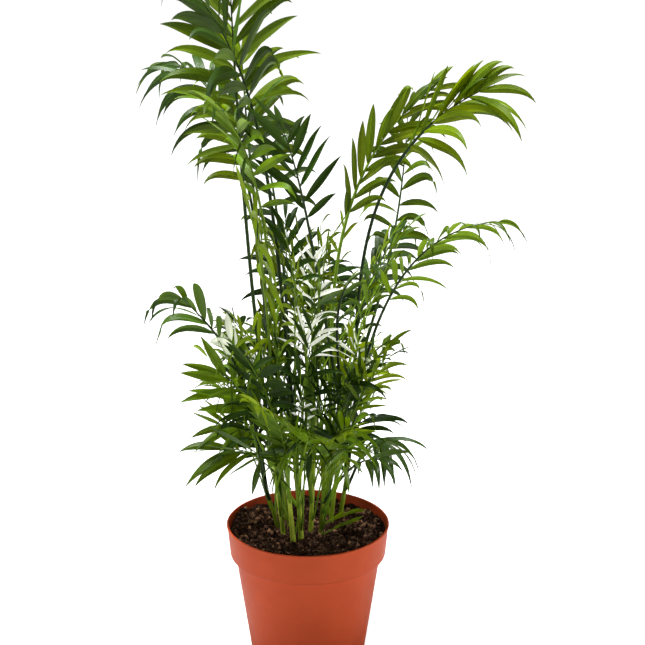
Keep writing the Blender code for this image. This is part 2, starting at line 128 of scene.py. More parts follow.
def add_piece(name, points, quads, triangles=NO_TRIANGLES, along=None, tone=None):
    """Make a smooth mesh object that rides on the plant's one body.

    along holds one (u, v) for each point and becomes the UV map "along".  tone
    holds one number for each point and becomes the attribute "tone".
    """
    points = np.ascontiguousarray(np.reshape(points, (-1, 3)), dtype=np.float32)
    corners = np.concatenate([quads.ravel(), triangles.ravel()]).astype(np.int32)
    sizes = np.repeat([4, 3], [len(quads), len(triangles)])
    starts = np.concatenate([[0], np.cumsum(sizes)[:-1]]).astype(np.int32)
    mesh = bpy.data.meshes.new(name)
    mesh.vertices.add(len(points))
    mesh.vertices.foreach_set("co", points.ravel())
    mesh.loops.add(len(corners))
    mesh.loops.foreach_set("vertex_index", corners)
    mesh.polygons.add(len(sizes))
    mesh.polygons.foreach_set("loop_start", starts)
    mesh.update(calc_edges=True)
    mesh.polygons.foreach_set("use_smooth", np.ones(len(sizes), bool))
    if along is not None:
        layer = mesh.uv_layers.new(name="along")
        layer.data.foreach_set("uv", np.reshape(along, (-1, 2))[corners].astype(np.float32).ravel())
    if tone is not None:
        attribute = mesh.attributes.new("tone", "FLOAT", "POINT")
        attribute.data.foreach_set("value", np.ravel(tone).astype(np.float32))
    mesh.validate()
    piece = bpy.data.objects.new(name, mesh)
    bpy.context.scene.collection.objects.link(piece)
    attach(piece, "root")
    print(f"{name}: {len(points)} points, {2 * len(quads) + len(triangles)} triangles")
    return piece


# %% [markdown]
# ## Shader helpers
#
# Plastic, peat, cane and leaf are different things, but all of them are a
# little uneven in colour.  That unevenness is the same effect with other
# numbers, so it is a node group with named sockets, built once.  A second
# group draws the fine lines that run along a leaflet or a cane.  A small
# function adds a node and fills its sockets, which keeps the material cells
# short, and the nodes that every material needs have functions of their own.

# %% Node helpers
FLOAT, COLOUR, VECTOR = "NodeSocketFloat", "NodeSocketColor", "NodeSocketVector"


def add_node(tree, kind, **settings):
    """Add a node; settings with a socket's name set or link that input."""
    node = tree.nodes.new(kind)
    for name, value in settings.items():
        if hasattr(node, name):
            setattr(node, name, value)
            continue
        socket = node.inputs[int(name[1:])] if name[0] == "_" else node.inputs[name.replace("_", " ")]
        if isinstance(value, bpy.types.NodeSocket):
            tree.links.new(value, socket)
        else:
            socket.default_value = value
    return node


def maths(tree, operation, *values):
    """The result of one Math node on up to three numbers."""
    inputs = {f"_{k}": value for k, value in enumerate(values)}
    return add_node(tree, "ShaderNodeMath", operation=operation, **inputs).outputs[0]


def ranged(tree, value, low=0.0, high=1.0, to_low=0.0, to_high=1.0):
    """A value between low and high, brought to between to_low and to_high."""
    return add_node(tree, "ShaderNodeMapRange", Value=value, From_Min=low, From_Max=high,
                    To_Min=to_low, To_Max=to_high).outputs["Result"]


def mixed(tree, share, first, second, way="MIX"):
    """The first colour where share is nought, the second where it is one."""
    return add_node(tree, "ShaderNodeMix", data_type="RGBA", blend_type=way, _0=share, _6=first,
                    _7=second).outputs[2]


def noise(tree, place, scale, detail=2.0, roughness=0.5):
    """Cloudy noise of so many clouds to a metre."""
    return add_node(tree, "ShaderNodeTexNoise", Vector=place, Scale=scale, Detail=detail,
                    Roughness=roughness).outputs["Fac"]


def bumped(tree, surface, height, strength, distance):
    """Let a height value tilt the light on a surface."""
    bump = add_node(tree, "ShaderNodeBump", Strength=strength, Distance=distance, Height=height)
    tree.links.new(bump.outputs["Normal"], surface.inputs["Normal"])


def new_group(name, inputs, outputs):
    """A shader group with named inputs (name, kind, value) and outputs."""
    tree = bpy.data.node_groups.new(name, "ShaderNodeTree")
    for socket_name, kind, value in inputs:
        socket = tree.interface.new_socket(socket_name, in_out="INPUT", socket_type=kind)
        if value is not None:
            socket.default_value = value
    for socket_name, kind in outputs:
        tree.interface.new_socket(socket_name, in_out="OUTPUT", socket_type=kind)
    return tree, tree.nodes.new("NodeGroupInput"), tree.nodes.new("NodeGroupOutput")


def add_group(tree, group, **sockets):
    """Place a node group and set or link its inputs."""
    node = tree.nodes.new("ShaderNodeGroup")
    node.node_tree = group
    for name, value in sockets.items():
        if isinstance(value, bpy.types.NodeSocket):
            tree.links.new(value, node.inputs[name])
        else:
            node.inputs[name].default_value = value
    return node


def new_material(name, roughness, specular):
    """A Principled material and its tree, with a plain roughness and gloss."""
    material = bpy.data.materials.new(name)
    material.use_nodes = True
    surface = material.node_tree.nodes["Principled BSDF"]
    surface.inputs["Roughness"].default_value = roughness
    surface.inputs["Specular IOR Level"].default_value = specular
    print("material:", name)
    return material, material.node_tree, surface


# %% The shared groups
mottle, at, out = new_group(
    "mottle",
    [("Place", VECTOR, None), ("Colour", COLOUR, (0.5, 0.5, 0.5, 1.0)),
     ("Other", COLOUR, (0.4, 0.4, 0.4, 1.0)), ("Size", FLOAT, 60.0), ("Amount", FLOAT, 0.5)],
    [("Colour", COLOUR)],
)
wide = ranged(mottle, noise(mottle, at.outputs["Place"], at.outputs["Size"], 5.0, 0.6), 0.32, 0.68)
share = maths(mottle, "MULTIPLY", wide, at.outputs["Amount"])
blend = mixed(mottle, share, at.outputs["Colour"], at.outputs["Other"])
mottle.links.new(blend, out.inputs["Colour"])

veins, at, out = new_group(
    "veins",
    [("Along", VECTOR, None), ("Count", FLOAT, 9.0), ("Waver", FLOAT, 0.03)],
    [("Lines", FLOAT)],
)
across = add_node(veins, "ShaderNodeSeparateXYZ", Vector=at.outputs["Along"]).outputs["X"]
drift = noise(veins, at.outputs["Along"], 3.0)
moved = maths(veins, "MULTIPLY_ADD", drift, at.outputs["Waver"], across)
turns = maths(veins, "MULTIPLY", moved, at.outputs["Count"])
wave = maths(veins, "COSINE", maths(veins, "MULTIPLY", turns, math.tau))
veins.links.new(ranged(veins, wave, -1.0), out.inputs["Lines"])
print("groups:", [group.name for group in bpy.data.node_groups])

# %% [markdown]
# ## Turning a profile
#
# The pot is turned, as on a lathe: half its section is drawn as corners in
# (radius, height) and carried round the axis.  Blender's Screw modifier could
# do it, but then the eased corners would need a Bevel.  Here each corner is
# cut back along both of its sides and a short curve put in, so the section
# itself is already smooth.

# %% Lathe helpers
def eased(corners, cuts, steps=5):
    """Replace each corner of a polyline by a short quadratic curve.

    The curve starts a cut's length before the corner and ends as far behind
    it: (1-t)^2 * before + 2t(1-t) * corner + t^2 * after.
    """
    corners = np.asarray(corners, float)
    sides = unit(np.diff(corners, axis=0))
    cut = np.asarray(cuts, float)[1:-1, None]
    middle = corners[1:-1]
    before, after = middle - sides[:-1] * cut, middle + sides[1:] * cut
    t = np.linspace(0.0, 1.0, steps)[None, :, None]
    curve = (1 - t) ** 2 * before[:, None] + 2 * t * (1 - t) * middle[:, None] + t**2 * after[:, None]
    return np.vstack([corners[:1], curve.reshape(-1, 2), corners[-1:]])


def supported(profile, near=0.6 * MM, step=6 * MM):
    """Add rows close to both ends of each straight piece and evenly between.

    Smooth shading then turns only at the eased corners, and the straight
    pieces stay straight in the light.
    """
    gap = np.linalg.norm(np.diff(profile, axis=0), axis=1)
    run = np.concatenate([[0.0], np.cumsum(gap)])
    long = gap > 3 * near
    extra = np.concatenate([run[:-1][long] + near, run[1:][long] - near, np.arange(step, run[-1], step)])
    extra = extra[np.abs(extra[:, None] - run).min(1) > 0.6 * near]
    wanted = np.unique(np.concatenate([run, extra]))
    return np.column_stack([np.interp(wanted, run, profile[:, k]) for k in (0, 1)])


def turned(profile, segments):
    """Carry (radius, z) rows round the Z axis; both ends lie on the axis."""
    ring = circle(even_turns(segments))
    inner = profile[1:-1]
    flat = inner[:, None, 0, None] * ring[None]
    points = np.dstack([flat, np.broadcast_to(inner[:, None, 1, None], (*flat.shape[:2], 1))])
    points = np.vstack([points.reshape(-1, 3), [[0, 0, profile[0, 1]], [0, 0, profile[-1, 1]]]])
    top = (len(inner) - 1) * segments
    caps = np.vstack([fan(len(points) - 2, 0, segments, back=True), fan(len(points) - 1, top, segments)])
    return points, grid_quads(len(inner), segments, joined=True), caps


# %% [markdown]
# ## The pot
#
# The real pot is an injection-moulded nursery pot of seventeen centimetres: a
# tapered bucket, a deep band under the lip that lets a stack of pots come
# apart, and a thin lip that the band flares out to.  Its wall is under two
# millimetres thick.  Its sizes repeat the CAD's, so the finer pot lies in the
# same place.

# %% Pot sizes and section
POT_HEIGHT = 150 * MM
LIP_RADIUS = 85 * MM
LIP_FOOT, LIP_PROUD = 139 * MM, 1.4 * MM
BAND_TOP_RADIUS = LIP_RADIUS - LIP_PROUD
BAND_FOOT_RADIUS, BAND_FOOT_Z = 81.3 * MM, 116.5 * MM
SHOULDER_RADIUS, SHOULDER_Z = 76.0 * MM, 115.5 * MM
FOOT_RADIUS = 58.9 * MM
WALL, FLOOR = 1.9 * MM, 3.0 * MM


def wall_radius(z):
    """Outer radius of the wall: straight pieces between the named heights."""
    heights = [0.0, SHOULDER_Z, BAND_FOOT_Z, LIP_FOOT]
    return np.interp(z, heights, [FOOT_RADIUS, SHOULDER_RADIUS, BAND_FOOT_RADIUS, BAND_TOP_RADIUS])


pot_corners = np.array([
    (0.0, 0.0), (FOOT_RADIUS, 0.0), (SHOULDER_RADIUS, SHOULDER_Z), (BAND_FOOT_RADIUS, BAND_FOOT_Z),
    (BAND_TOP_RADIUS, LIP_FOOT), (LIP_RADIUS - 0.9 * MM, POT_HEIGHT - 2.2 * MM),
    (LIP_RADIUS, POT_HEIGHT - 1.9 * MM), (LIP_RADIUS, POT_HEIGHT),
    (LIP_RADIUS - 2.0 * MM, POT_HEIGHT), (LIP_RADIUS - 2.3 * MM, POT_HEIGHT - 2.4 * MM),
    (BAND_TOP_RADIUS - WALL, LIP_FOOT), (BAND_FOOT_RADIUS - WALL, BAND_FOOT_Z + WALL),
    (SHOULDER_RADIUS - WALL, SHOULDER_Z + WALL), (float(wall_radius(FLOOR)) - WALL, FLOOR), (0.0, FLOOR),
])
pot_cuts = np.array([0, 1.6, 0.8, 1.2, 2.2, 0.35, 0.3, 0.7, 0.5, 0.7, 2.0, 1.5, 2.0, 2.0, 0]) * MM
POT_SEGMENTS = 192
pot = add_piece("nursery_pot", *turned(supported(eased(pot_corners, pot_cuts)), POT_SEGMENTS))
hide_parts("pot")

# %% [markdown]
# Terracotta-coloured polypropylene is satin, not shiny.  Three things keep it
# from looking like a flat colour: the melt leaves faint clouds, the mould
# leaves hair-fine rings, and handling leaves soft dull patches.  A thin dark
# line along the edge of the ledge is painted shade, the shadow line where the
# ledge overhangs the wall.  Rings could be modelled, but they are a few
# hundredths of a millimetre deep, so a bump is the honest way.
# The patterns read Object coordinates.

# %% Pot material
TERRACOTTA, WORN, LEDGE_SHADE = (0.64, 0.094, 0.030, 1), (0.56, 0.079, 0.024, 1), (0.26, 0.034, 0.012, 1)
RINGS_PER_METRE = 2400.0

material, tree, surface = new_material("terracotta plastic", 0.45, 0.10)
place = add_node(tree, "ShaderNodeTexCoord").outputs["Object"]
cloudy = add_group(tree, mottle, Place=place, Colour=TERRACOTTA, Other=WORN, Size=24.0, Amount=0.8)
height = add_node(tree, "ShaderNodeSeparateXYZ", Vector=place).outputs["Z"]
# Painted shade: a thin dark line along the ledge's edge, where the ledge shades the wall below it.
from_edge = maths(tree, "ABSOLUTE", maths(tree, "SUBTRACT", height, BAND_FOOT_Z + 0.2 * MM))
ledge_shade_share = ranged(tree, from_edge, 0.3 * MM, 0.9 * MM, 0.6, 0.0)
tree.links.new(mixed(tree, ledge_shade_share, cloudy.outputs["Colour"], LEDGE_SHADE), surface.inputs["Base Color"])
dull = ranged(tree, noise(tree, place, 55.0, 6.0, 0.7), 0.35, 0.75, 0.36, 0.52)
tree.links.new(dull, surface.inputs["Roughness"])
rings = maths(tree, "SINE", maths(tree, "MULTIPLY", height, RINGS_PER_METRE))
relief = maths(tree, "MULTIPLY_ADD", rings, 0.12, noise(tree, place, 700.0))
bumped(tree, surface, relief, 0.10, 0.0004)
pot.data.materials.append(material)

# %% [markdown]
# ## The peat
#
# Potting peat is a bed of crumbs held together by fibres.  A displaced plane
# gives hills, not crumbs, so the ground here is the upper envelope of more than
# a thousand round clods, each a low dome, with a finer ripple on top.  Loose
# crumbs and fibres are added as joined meshes afterwards.

# %% Ground height
SOIL_Z, SOIL_SWELL = 137 * MM, 7.0 * MM
CLODS, SWIRLS = 1300, 24
dice = np.random.default_rng(7)


def even_disc(count, radius):
    """Points spread evenly over a disc: radius * sqrt(chance), any angle."""
    away = radius * np.sqrt(dice.random(count))
    return away[:, None] * circle(dice.random(count) * math.tau)


SOIL_RADIUS = float(wall_radius(SOIL_Z)) - WALL - 0.35 * MM
clod_place = even_disc(CLODS, SOIL_RADIUS)
clod_size = (1.6 + 5.0 * dice.random(CLODS) ** 2.0) * MM
clod_rise = clod_size * (0.45 + 0.75 * dice.random(CLODS)) + dice.normal(0.0, 0.9, CLODS) * MM
swirl_way = unit(dice.normal(0.0, 1.0, (SWIRLS, 2)))
swirl_way *= (180 + 1500 * dice.random(SWIRLS) ** 1.5)[:, None]
swirl_start = dice.random(SWIRLS) * math.tau


def ground(flat):
    """Height of the ground over (x, y) rows.

    A broad swell rises towards the wall.  On it lies the highest of all the
    clods over that point, rise * sqrt(1 - (d / size)^2), and a sum of sines
    whose sizes fall as their lengths shrink.
    """
    flat = np.asarray(flat, float)
    away = np.linalg.norm(flat, axis=-1)
    around = np.arctan2(flat[..., 1], flat[..., 0])
    edge = np.clip((away - 38 * MM) / (38 * MM), 0.0, 1.0)
    swell = SOIL_SWELL * edge * (0.55 + 0.25 * np.sin(3 * around + 1.0) + 0.2 * np.sin(5 * around + 0.4))
    best = np.zeros(away.shape)
    for some in np.array_split(np.arange(CLODS), 13):
        square = ((flat[..., None, :] - clod_place[some]) ** 2).sum(-1) / clod_size[some] ** 2
        dome = clod_rise[some] * np.sqrt(np.clip(1.0 - square, 0.0, None))
        best = np.maximum(best, dome.max(-1))
    size = np.linalg.norm(swirl_way, axis=1)
    ripple = (np.sin(flat @ swirl_way.T + swirl_start) * (90.0 / size) ** 0.8).sum(-1)
    return SOIL_Z - 1.9 * MM + swell + best * 0.95 + ripple * 0.38 * MM


# %% Ground mesh
ROWS, COLUMNS, SOIL_DEPTH = 118, 380, 18 * MM
away = np.linspace(0.6 * MM, SOIL_RADIUS, ROWS)
flat = away[:, None, None] * circle(even_turns(COLUMNS))
height = ground(flat.reshape(-1, 2)).reshape(ROWS, COLUMNS)
top = np.dstack([flat, height])
deep = top[-1] * [0.985, 0.985, 1.0] - [0.0, 0.0, SOIL_DEPTH]
middles = [[0, 0, height[0].mean()], [0, 0, deep[:, 2].mean()]]
soil_points = np.vstack([top.reshape(-1, 3), deep, middles])
soil_caps = np.vstack([
    fan(len(soil_points) - 2, 0, COLUMNS),
    fan(len(soil_points) - 1, ROWS * COLUMNS, COLUMNS, back=True),
])
soil_quads = grid_quads(ROWS + 1, COLUMNS, joined=True)[:, ::-1]
soil = add_piece("peat_bed", soil_points, soil_quads, soil_caps)
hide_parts("soil")
print("ground from", round(height.min() / MM, 1), "to", round(height.max() / MM, 1), "mm")

# %% [markdown]
# ### Crumbs and fibres
#
# A crumb is a lump the size of a lentil or less.  One lump is an octahedron
# whose faces are split once and pushed out to a ball; every crumb is a copy of
# it, stretched, turned and dented by its own dice, and all copies go into one
# mesh.  A fibre is a three-sided thread bent along a short curve.

# %% Crumbs
def ball_lump():
    """A ball of 32 faces from an octahedron split once."""
    corners = np.array([(1, 0, 0), (0, 1, 0), (-1, 0, 0), (0, -1, 0), (0, 0, 1), (0, 0, -1)], float)
    faces = [(0, 1, 4), (1, 2, 4), (2, 3, 4), (3, 0, 4), (1, 0, 5), (2, 1, 5), (3, 2, 5), (0, 3, 5)]
    points, numbers, split = list(corners), {}, []
    for face in faces:
        half = []
        for a, b in zip(face, face[1:] + face[:1]):
            key = (min(a, b), max(a, b))
            if key not in numbers:
                numbers[key] = len(points)
                points.append(corners[a] + corners[b])
            half.append(numbers[key])
        split += [(face[k], half[k], half[k - 1]) for k in range(3)] + [tuple(half)]
    return unit(np.array(points)), np.array(split)


def any_turn(count):
    """Random turns: the two-vector frame made square by Gram and Schmidt."""
    a = unit(dice.normal(size=(count, 3)))
    b = unit(np.cross(a, dice.normal(size=(count, 3))))
    return np.stack([a, b, np.cross(a, b)], 1)


lump, lump_faces = ball_lump()
CRUMBS = 3600
crumb_size = (0.5 + 2.1 * dice.random(CRUMBS) ** 3.0) * MM
crumb_flat = even_disc(CRUMBS, SOIL_RADIUS - 3 * MM)
crumb_shape = lump[None] * (0.75 + 0.5 * dice.random((CRUMBS, len(lump), 1)))
crumb_shape = crumb_shape * crumb_size[:, None, None] * [1.25, 0.9, 0.75]
crumb_points = np.einsum("cpi,cij->cpj", crumb_shape, any_turn(CRUMBS))
crumb_rest = np.column_stack([crumb_flat, ground(crumb_flat) + crumb_size * 0.25])
crumb_points += crumb_rest[:, None]
crumbs = add_piece("peat_crumbs", crumb_points, np.zeros((0, 4), int),
                   many(lump_faces, CRUMBS, len(lump)), tone=np.repeat(dice.random(CRUMBS), len(lump)))

# %% Fibres
FIBRES, FIBRE_RINGS = 2800, 7
t = np.linspace(0.0, 1.0, FIBRE_RINGS)
fibre_length = (4 + 11 * dice.random(FIBRES) ** 2) * MM
fibre_way = dice.random(FIBRES) * math.tau
fibre_bend = dice.normal(0.0, 1.3, FIBRES)
fibre_turn = fibre_way[:, None] + fibre_bend[:, None] * (t[None] - 0.5)
fibre_step = circle(fibre_turn) * (fibre_length / FIBRE_RINGS)[:, None, None]
fibre_flat = even_disc(FIBRES, SOIL_RADIUS - 9 * MM)[:, None] + np.cumsum(fibre_step, 1)
inside = np.linalg.norm(fibre_flat, axis=-1).max(1) < SOIL_RADIUS - 1.5 * MM
fibre_flat, fibre_turn = fibre_flat[inside], fibre_turn[inside]
arch = dice.random((len(fibre_flat), 1)) ** 2 * 3.0 * MM * np.sin(math.pi * t)[None]
fibre_height = ground(fibre_flat.reshape(-1, 2)).reshape(fibre_flat.shape[:2])
fibre_height = 0.5 * (fibre_height + fibre_height.mean(1, keepdims=True)) + arch + 0.3 * MM
fibre_line = np.dstack([fibre_flat, fibre_height])
thick = (0.13 + 0.32 * dice.random(len(fibre_flat)) ** 2)[:, None, None, None] * MM
thick = thick * (1.0 - 0.75 * t**2)[None, :, None, None]
corner = even_turns(3)
side = np.stack([-np.sin(fibre_turn), np.cos(fibre_turn), np.zeros_like(fibre_turn)], -1)
round_it = np.cos(corner)[:, None] * side[:, :, None] + np.sin(corner)[:, None] * np.array([0, 0, 1.0])
fibre_points = fibre_line[:, :, None] + thick * round_it
fibre_faces = grid_quads(FIBRE_RINGS, 3, joined=True)
fibre_ends = np.array([[2, 1, 0], [3 * FIBRE_RINGS - 3, 3 * FIBRE_RINGS - 2, 3 * FIBRE_RINGS - 1]])
fibres = add_piece("peat_fibres", fibre_points, many(fibre_faces, len(fibre_flat), 3 * FIBRE_RINGS),
                   many(fibre_ends, len(fibre_flat), 3 * FIBRE_RINGS),
                   tone=np.repeat(dice.random(len(fibre_flat)), 3 * FIBRE_RINGS))

# %% [markdown]
# Moist peat is nearly black in its hollows and a warm brown where a crumb has
# dried.  The same material serves bed, crumbs and fibres, with other colours:
# it mixes a dark and a dry tone by noise, and adds a fine grain as a bump.

# %% Peat materials
def peat(name, wet, dry, size, straw=None):
    """Two tones of brown mixed by noise; where straw is given, a few crumbs are bleached."""
    material, tree, surface = new_material(name, 0.9, 0.12)
    place = add_node(tree, "ShaderNodeTexCoord").outputs["Object"]
    patch = add_group(tree, mottle, Place=place, Colour=wet, Other=dry, Size=size,
                      Amount=0.6 if straw else 0.9)
    colour = patch.outputs["Colour"]
    if straw:
        own = add_node(tree, "ShaderNodeAttribute", attribute_name="tone").outputs["Fac"]
        colour = mixed(tree, maths(tree, "POWER", own, 6.0), colour, straw)
    tree.links.new(colour, surface.inputs["Base Color"])
    bumped(tree, surface, noise(tree, place, 900.0, 4.0, 0.7), 0.7, 0.0008)
    return material


PEAT_LOOKS = (
    (soil, "moist peat", (0.0030, 0.0013, 0.0008, 1), (0.040, 0.017, 0.009, 1), 260.0),
    (crumbs, "peat crumb", (0.0025, 0.0010, 0.0006, 1), (0.080, 0.033, 0.017, 1), 300.0,
     (0.62, 0.33, 0.19, 1)),
    (fibres, "peat fibre", (0.030, 0.012, 0.006, 1), (0.26, 0.12, 0.062, 1), 200.0,
     (0.72, 0.46, 0.29, 1)),
)
for piece, *look in PEAT_LOOKS:
    piece.data.materials.append(peat(*look))

# %% [markdown]
# ## The growing rule
#
# The CAD grows the plant by one rule.  A cane is a straight tapered limb with
# a foot, a lean and a heading.  A frond starts at a cane and is a curve whose
# lean and heading change along it: bare at first, the petiole, and then a rib
# with leaflets on both sides.  The same rule is written again here, so that
# every finer piece grows in the place of its solid.  The rows are the CAD's.
# Most numbers of the fronds were found by separate scripts, which fitted the
# rule to ribs drawn by hand and then searched further: they aren't measured.

# %% Canes and fronds
GAP = 0.3 * MM
CANE_TAPER, CANE_SIDES = 0.72, 6
PETIOLE_RADIUS, RIB_TIP_RADIUS = 1.7 * MM, 0.7 * MM
RIB_CORNERS = ((0.9, 0.45), (-0.9, 0.45), (0.0, -1.0))
SEAT = 0.35 * MM
SEED = 41

Cane = namedtuple("Cane", "name x y height lean heading radius")
Frond = namedtuple(
    "Frond", "name cane at heading swing lean arch bend length bare roll pairs leaf droop spread")


def table(text):
    """Rows of words and numbers, one row to a line."""
    def read(word):
        return word if word[0].isalpha() else float(word) if "." in word else int(word)
    return [[read(word) for word in line.split()] for line in text.strip().splitlines()]


CANES = {row[0]: Cane(*row) for row in table("""
a -32 14 80 14 185 2
b -25 -11 105 7 185 2.4
c -19 9 120 7 180 2.1
d -15 -21 100 5 200 2.7
e -7 -16 120 3 210 2.6
f -8 19 135 5 165 2.3
g 3 -1 130 2 0 2.4
h 13 -11 95 5 310 2
i 15 14 125 4 10 2.2
j 24 24 120 6 350 2.3
k 34 39 110 8 5 2.3
l 4 32 125 3 80 2
m 19 45 115 9 40 2.2
n -23 32 115 8 140 2
""")}
FRONDS = [Frond(*row) for row in table("""
left_tall_1 b 1 122 -7 15 -10 0.8 491 0.62 10 12 96 0.55 82
left_tall_3 e 1 195 9 5 39 4 484 0.62 50 12 92 0.6 74
left_tall_2 c 1 120 -25 6 32 1.1 401 0.62 -19 9 92 0.53 74
right_tall_1 k 1 281 64 0 62 1.9 420 0.75 -57 9 100 0.52 50
right_tall_2 i 1 350 30 0 61 2.5 375 0.56 -80 11 74 0.5 40
right_back_1 m 1 35 36 28 -22 1.8 331 0.55 0 9 68 0.9 66
left_back_1 n 1 129 9 7 91 4 424 0.66 20 10 78 0.85 66
left_front_1 d 1 221 22 5 66 4 430 0.62 20 9 74 0.8 66
right_arch_1 k 0.6 276 57 22 60 3.2 403 0.56 30 12 60 0.9 56
middle_fan j 1 235 17 16 29 3.4 380 0.64 -3 7 70 0.17 46
left_low_1 a 1 259 -45 8 37 0.7 244 0.7 -38 5 76 1 41
right_arch_2 m 0.8 52 11 14 97 2.4 276 0.5 -31 9 64 0.73 46
left_back_2 f 1 124 -24 0 65 2 317 0.62 0 6 68 0.7 70
left_low_2 a 0.61 263 -56 17 32 2.7 169 0.57 -86 5 66 0.15 60
left_low_3 a 0.43 244 36 23 87 2.8 115 0.74 6 5 83 0.31 75
right_low_2 j 0.52 430 28 18 63 2.8 155 0.62 24 5 54 1 69
right_low_1 k 0.3 344 -50 19 90 3 100 0.7 10 5 68 0.9 44
middle_left b 0.8 267 -17 0 33 1 335 0.6 61 7 66 0.68 80
back_1 l 1 83 1 28 66 1.6 203 0.45 -15 8 66 0.7 78
back_2 f 0.8 84 19 49 -14 1.6 253 0.5 20 8 66 0.6 76
back_3 m 0.62 76 -7 9 68 1 219 0.48 30 8 62 0.7 78
front_1 g 0.28 253 45 8 108 2.6 117 0.64 -22 4 59 0.9 55
front_2 h 0.31 313 -58 25 116 3 175 0.66 -22 5 46 0.75 51
front_3 b 0.5 265 -7 22 50 1.6 204 0.5 25 6 46 1 62
back_4 n 0.8 107 11 38 27 0.8 157 0.42 -25 7 60 0.6 82
pale_1 e 0.55 305 -54 12 2 3.2 185 0.82 13 4 44 0.7 62
pale_2 h 1 345 46 16 0 3.1 127 0.8 -36 5 44 0.8 83
pale_3 g 0.85 262 6 6 5 1.6 215 0.42 20 6 42 1 70
pale_4 e 0.31 157 -63 34 14 0.9 199 0.86 -45 3 40 0.8 84
middle_low g 1 235 5 12 8 2.2 233 0.6 10 6 50 0.6 74
right_front_1 k 0.5 239 60 3 67 1.2 359 0.55 -20 7 44 0.8 74
right_front_2 i 0.58 414 -12 24 38 1.1 152 0.7 20 5 49 0.71 80
left_low_4 d 0.75 242 0 5 40 0.8 182 0.5 10 6 54 0.5 66
right_low_3 m 0.5 16 75 18 110 2.6 83 0.55 47 6 60 0.69 50
front_low_1 h 0.6 269 26 29 33 1.5 132 0.5 -12 5 56 0.8 62
front_low_2 e 0.5 276 1 41 12 1.6 136 0.5 15 5 48 0.8 62
front_low_3 d 0.5 268 -13 18 34 1.4 141 0.5 10 6 52 0.7 62
back_5 l 0.7 83 -4 54 22 1.4 135 0.42 15 6 56 0.6 85
left_low_5 n 0.45 208 -21 2 90 1.1 98 0.55 40 6 52 0.4 56
right_low_4 k 0.47 183 -103 19 90 1.3 101 0.55 -71 6 62 0.51 50
right_low_5 h 0.44 321 -5 31 52 2.1 106 0.55 -20 5 56 0.6 60
front_low_4 g 0.45 259 18 10 110 1.5 155 0.5 0 5 52 0.8 60
back_6 m 0.3 72 -17 34 64 0.8 122 0.42 0 6 60 0.6 92
back_7 n 0.25 103 18 45 50 0.9 119 0.42 0 6 60 0.6 92
""")]
print(len(CANES), "canes,", len(FRONDS), "fronds")


# %% Where a limb runs
def lean_direction(lean, heading):
    """Unit vector that leans so many degrees towards a heading."""
    a, b = np.radians(heading), np.radians(lean)
    return np.stack([np.sin(b) * np.cos(a), np.sin(b) * np.sin(a), np.cos(b)], -1)


def cane_point(cane, share):
    """Centre of a cane at a share of its height, and its radius there."""
    foot = np.array([cane.x * MM, cane.y * MM, SOIL_Z + GAP])
    centre = foot + lean_direction(cane.lean, cane.heading) * cane.height * MM * share
    return centre, cane.radius * MM * (1.0 + (CANE_TAPER - 1.0) * share)


def upper_side(frond, lean, turn):
    """Tangent, upper-side normal and left side of a frond rolled on its rib."""
    tangent = lean_direction(lean, turn)
    upper = lean_direction(lean - 90.0, turn)
    side = lean_direction(np.full_like(lean, 90.0), turn + 90.0)
    roll = math.radians(frond.roll)
    normal = math.cos(roll) * upper + math.sin(roll) * side
    return tangent, normal, np.cross(normal, tangent)


def frond_foot(frond):
    """On the cane's tip, or beside the cane just clear of its facets."""
    cane = CANES[frond.cane]
    point, radius = cane_point(cane, frond.at)
    if frond.at == 1:
        return point + np.array([0, 0, SEAT + PETIOLE_RADIUS * math.sin(math.radians(frond.lean))])
    outward = lean_direction(90.0, frond.heading)
    flats = np.cos(np.radians(frond.heading) - even_turns(CANE_SIDES))
    _, normal, left = upper_side(frond, np.array(float(frond.lean)), np.array(float(frond.heading)))
    inward = max(-(x * left + y * normal) @ outward for x, y in RIB_CORNERS)
    return point + outward * (radius * flats.max() + PETIOLE_RADIUS * inward + SEAT)


def frond_frames(frond, shares):
    """Centre, tangent, normal and left side at shares of a frond's length.

    Lean = lean + arch * share ** bend and heading = heading + swing * share;
    the centre is the running sum of the direction they give.
    """
    def leaning(share):
        return frond.lean + frond.arch * share**frond.bend, frond.heading + frond.swing * share

    count = 160
    steps = lean_direction(*leaning((np.arange(count) + 0.5) / count))
    path = np.vstack([np.zeros(3), np.cumsum(steps * frond.length * MM / count, 0)]) + frond_foot(frond)
    knots = np.linspace(0.0, 1.0, count + 1)
    centre = np.stack([np.interp(shares, knots, path[:, k]) for k in range(3)], 1)
    return (centre, *upper_side(frond, *leaning(shares)))


# %% [markdown]
# ## Tubes
#
# Canes and ribs are round stalks that taper.  A curve object with a bevel
# would do, but the sheath rings need a radius that changes along and round the
# stalk at once.  So a stalk is a grid: a ring of points across each station of
# its path, with a radius for every point, and a cap at both ends.

# %% Tube helper
def tube(centre, side, upward, radius):
    """Points of a closed stalk and its faces.

    Ring i has its point j at centre_i + radius_ij * (cos * side_i + sin *
    upward_i).  Both ends close on a middle point.
    """
    rings, sides = radius.shape
    turn = even_turns(sides)
    spoke = np.cos(turn)[None, :, None] * side[:, None] + np.sin(turn)[None, :, None] * upward[:, None]
    points = centre[:, None] + radius[..., None] * spoke
    points = np.vstack([points.reshape(-1, 3), centre[:1], centre[-1:]])
    count = rings * sides
    caps = np.vstack([fan(count, 0, sides, back=True), fan(count + 1, count - sides, sides)])
    share = np.linspace(0.0, 1.0, rings)
    along = np.stack(np.broadcast_arrays(np.arange(sides)[None] / sides, share[:, None]), -1)
    along = np.vstack([along.reshape(-1, 2), [[0.5, 0.0], [0.5, 1.0]]])
    return points, grid_quads(rings, sides, joined=True), caps, along


def joined(parts):
    """Several (points, quads, triangles, along, tone) made one."""
    shifts = np.cumsum([0] + [len(part[0]) for part in parts[:-1]])
    points, along, tone = (np.concatenate([part[k] for part in parts]) for k in (0, 3, 4))
    quads, triangles = (
        np.concatenate([part[k] + shift for part, shift in zip(parts, shifts)]) for k in (1, 2))
    return points, quads, triangles, along, tone


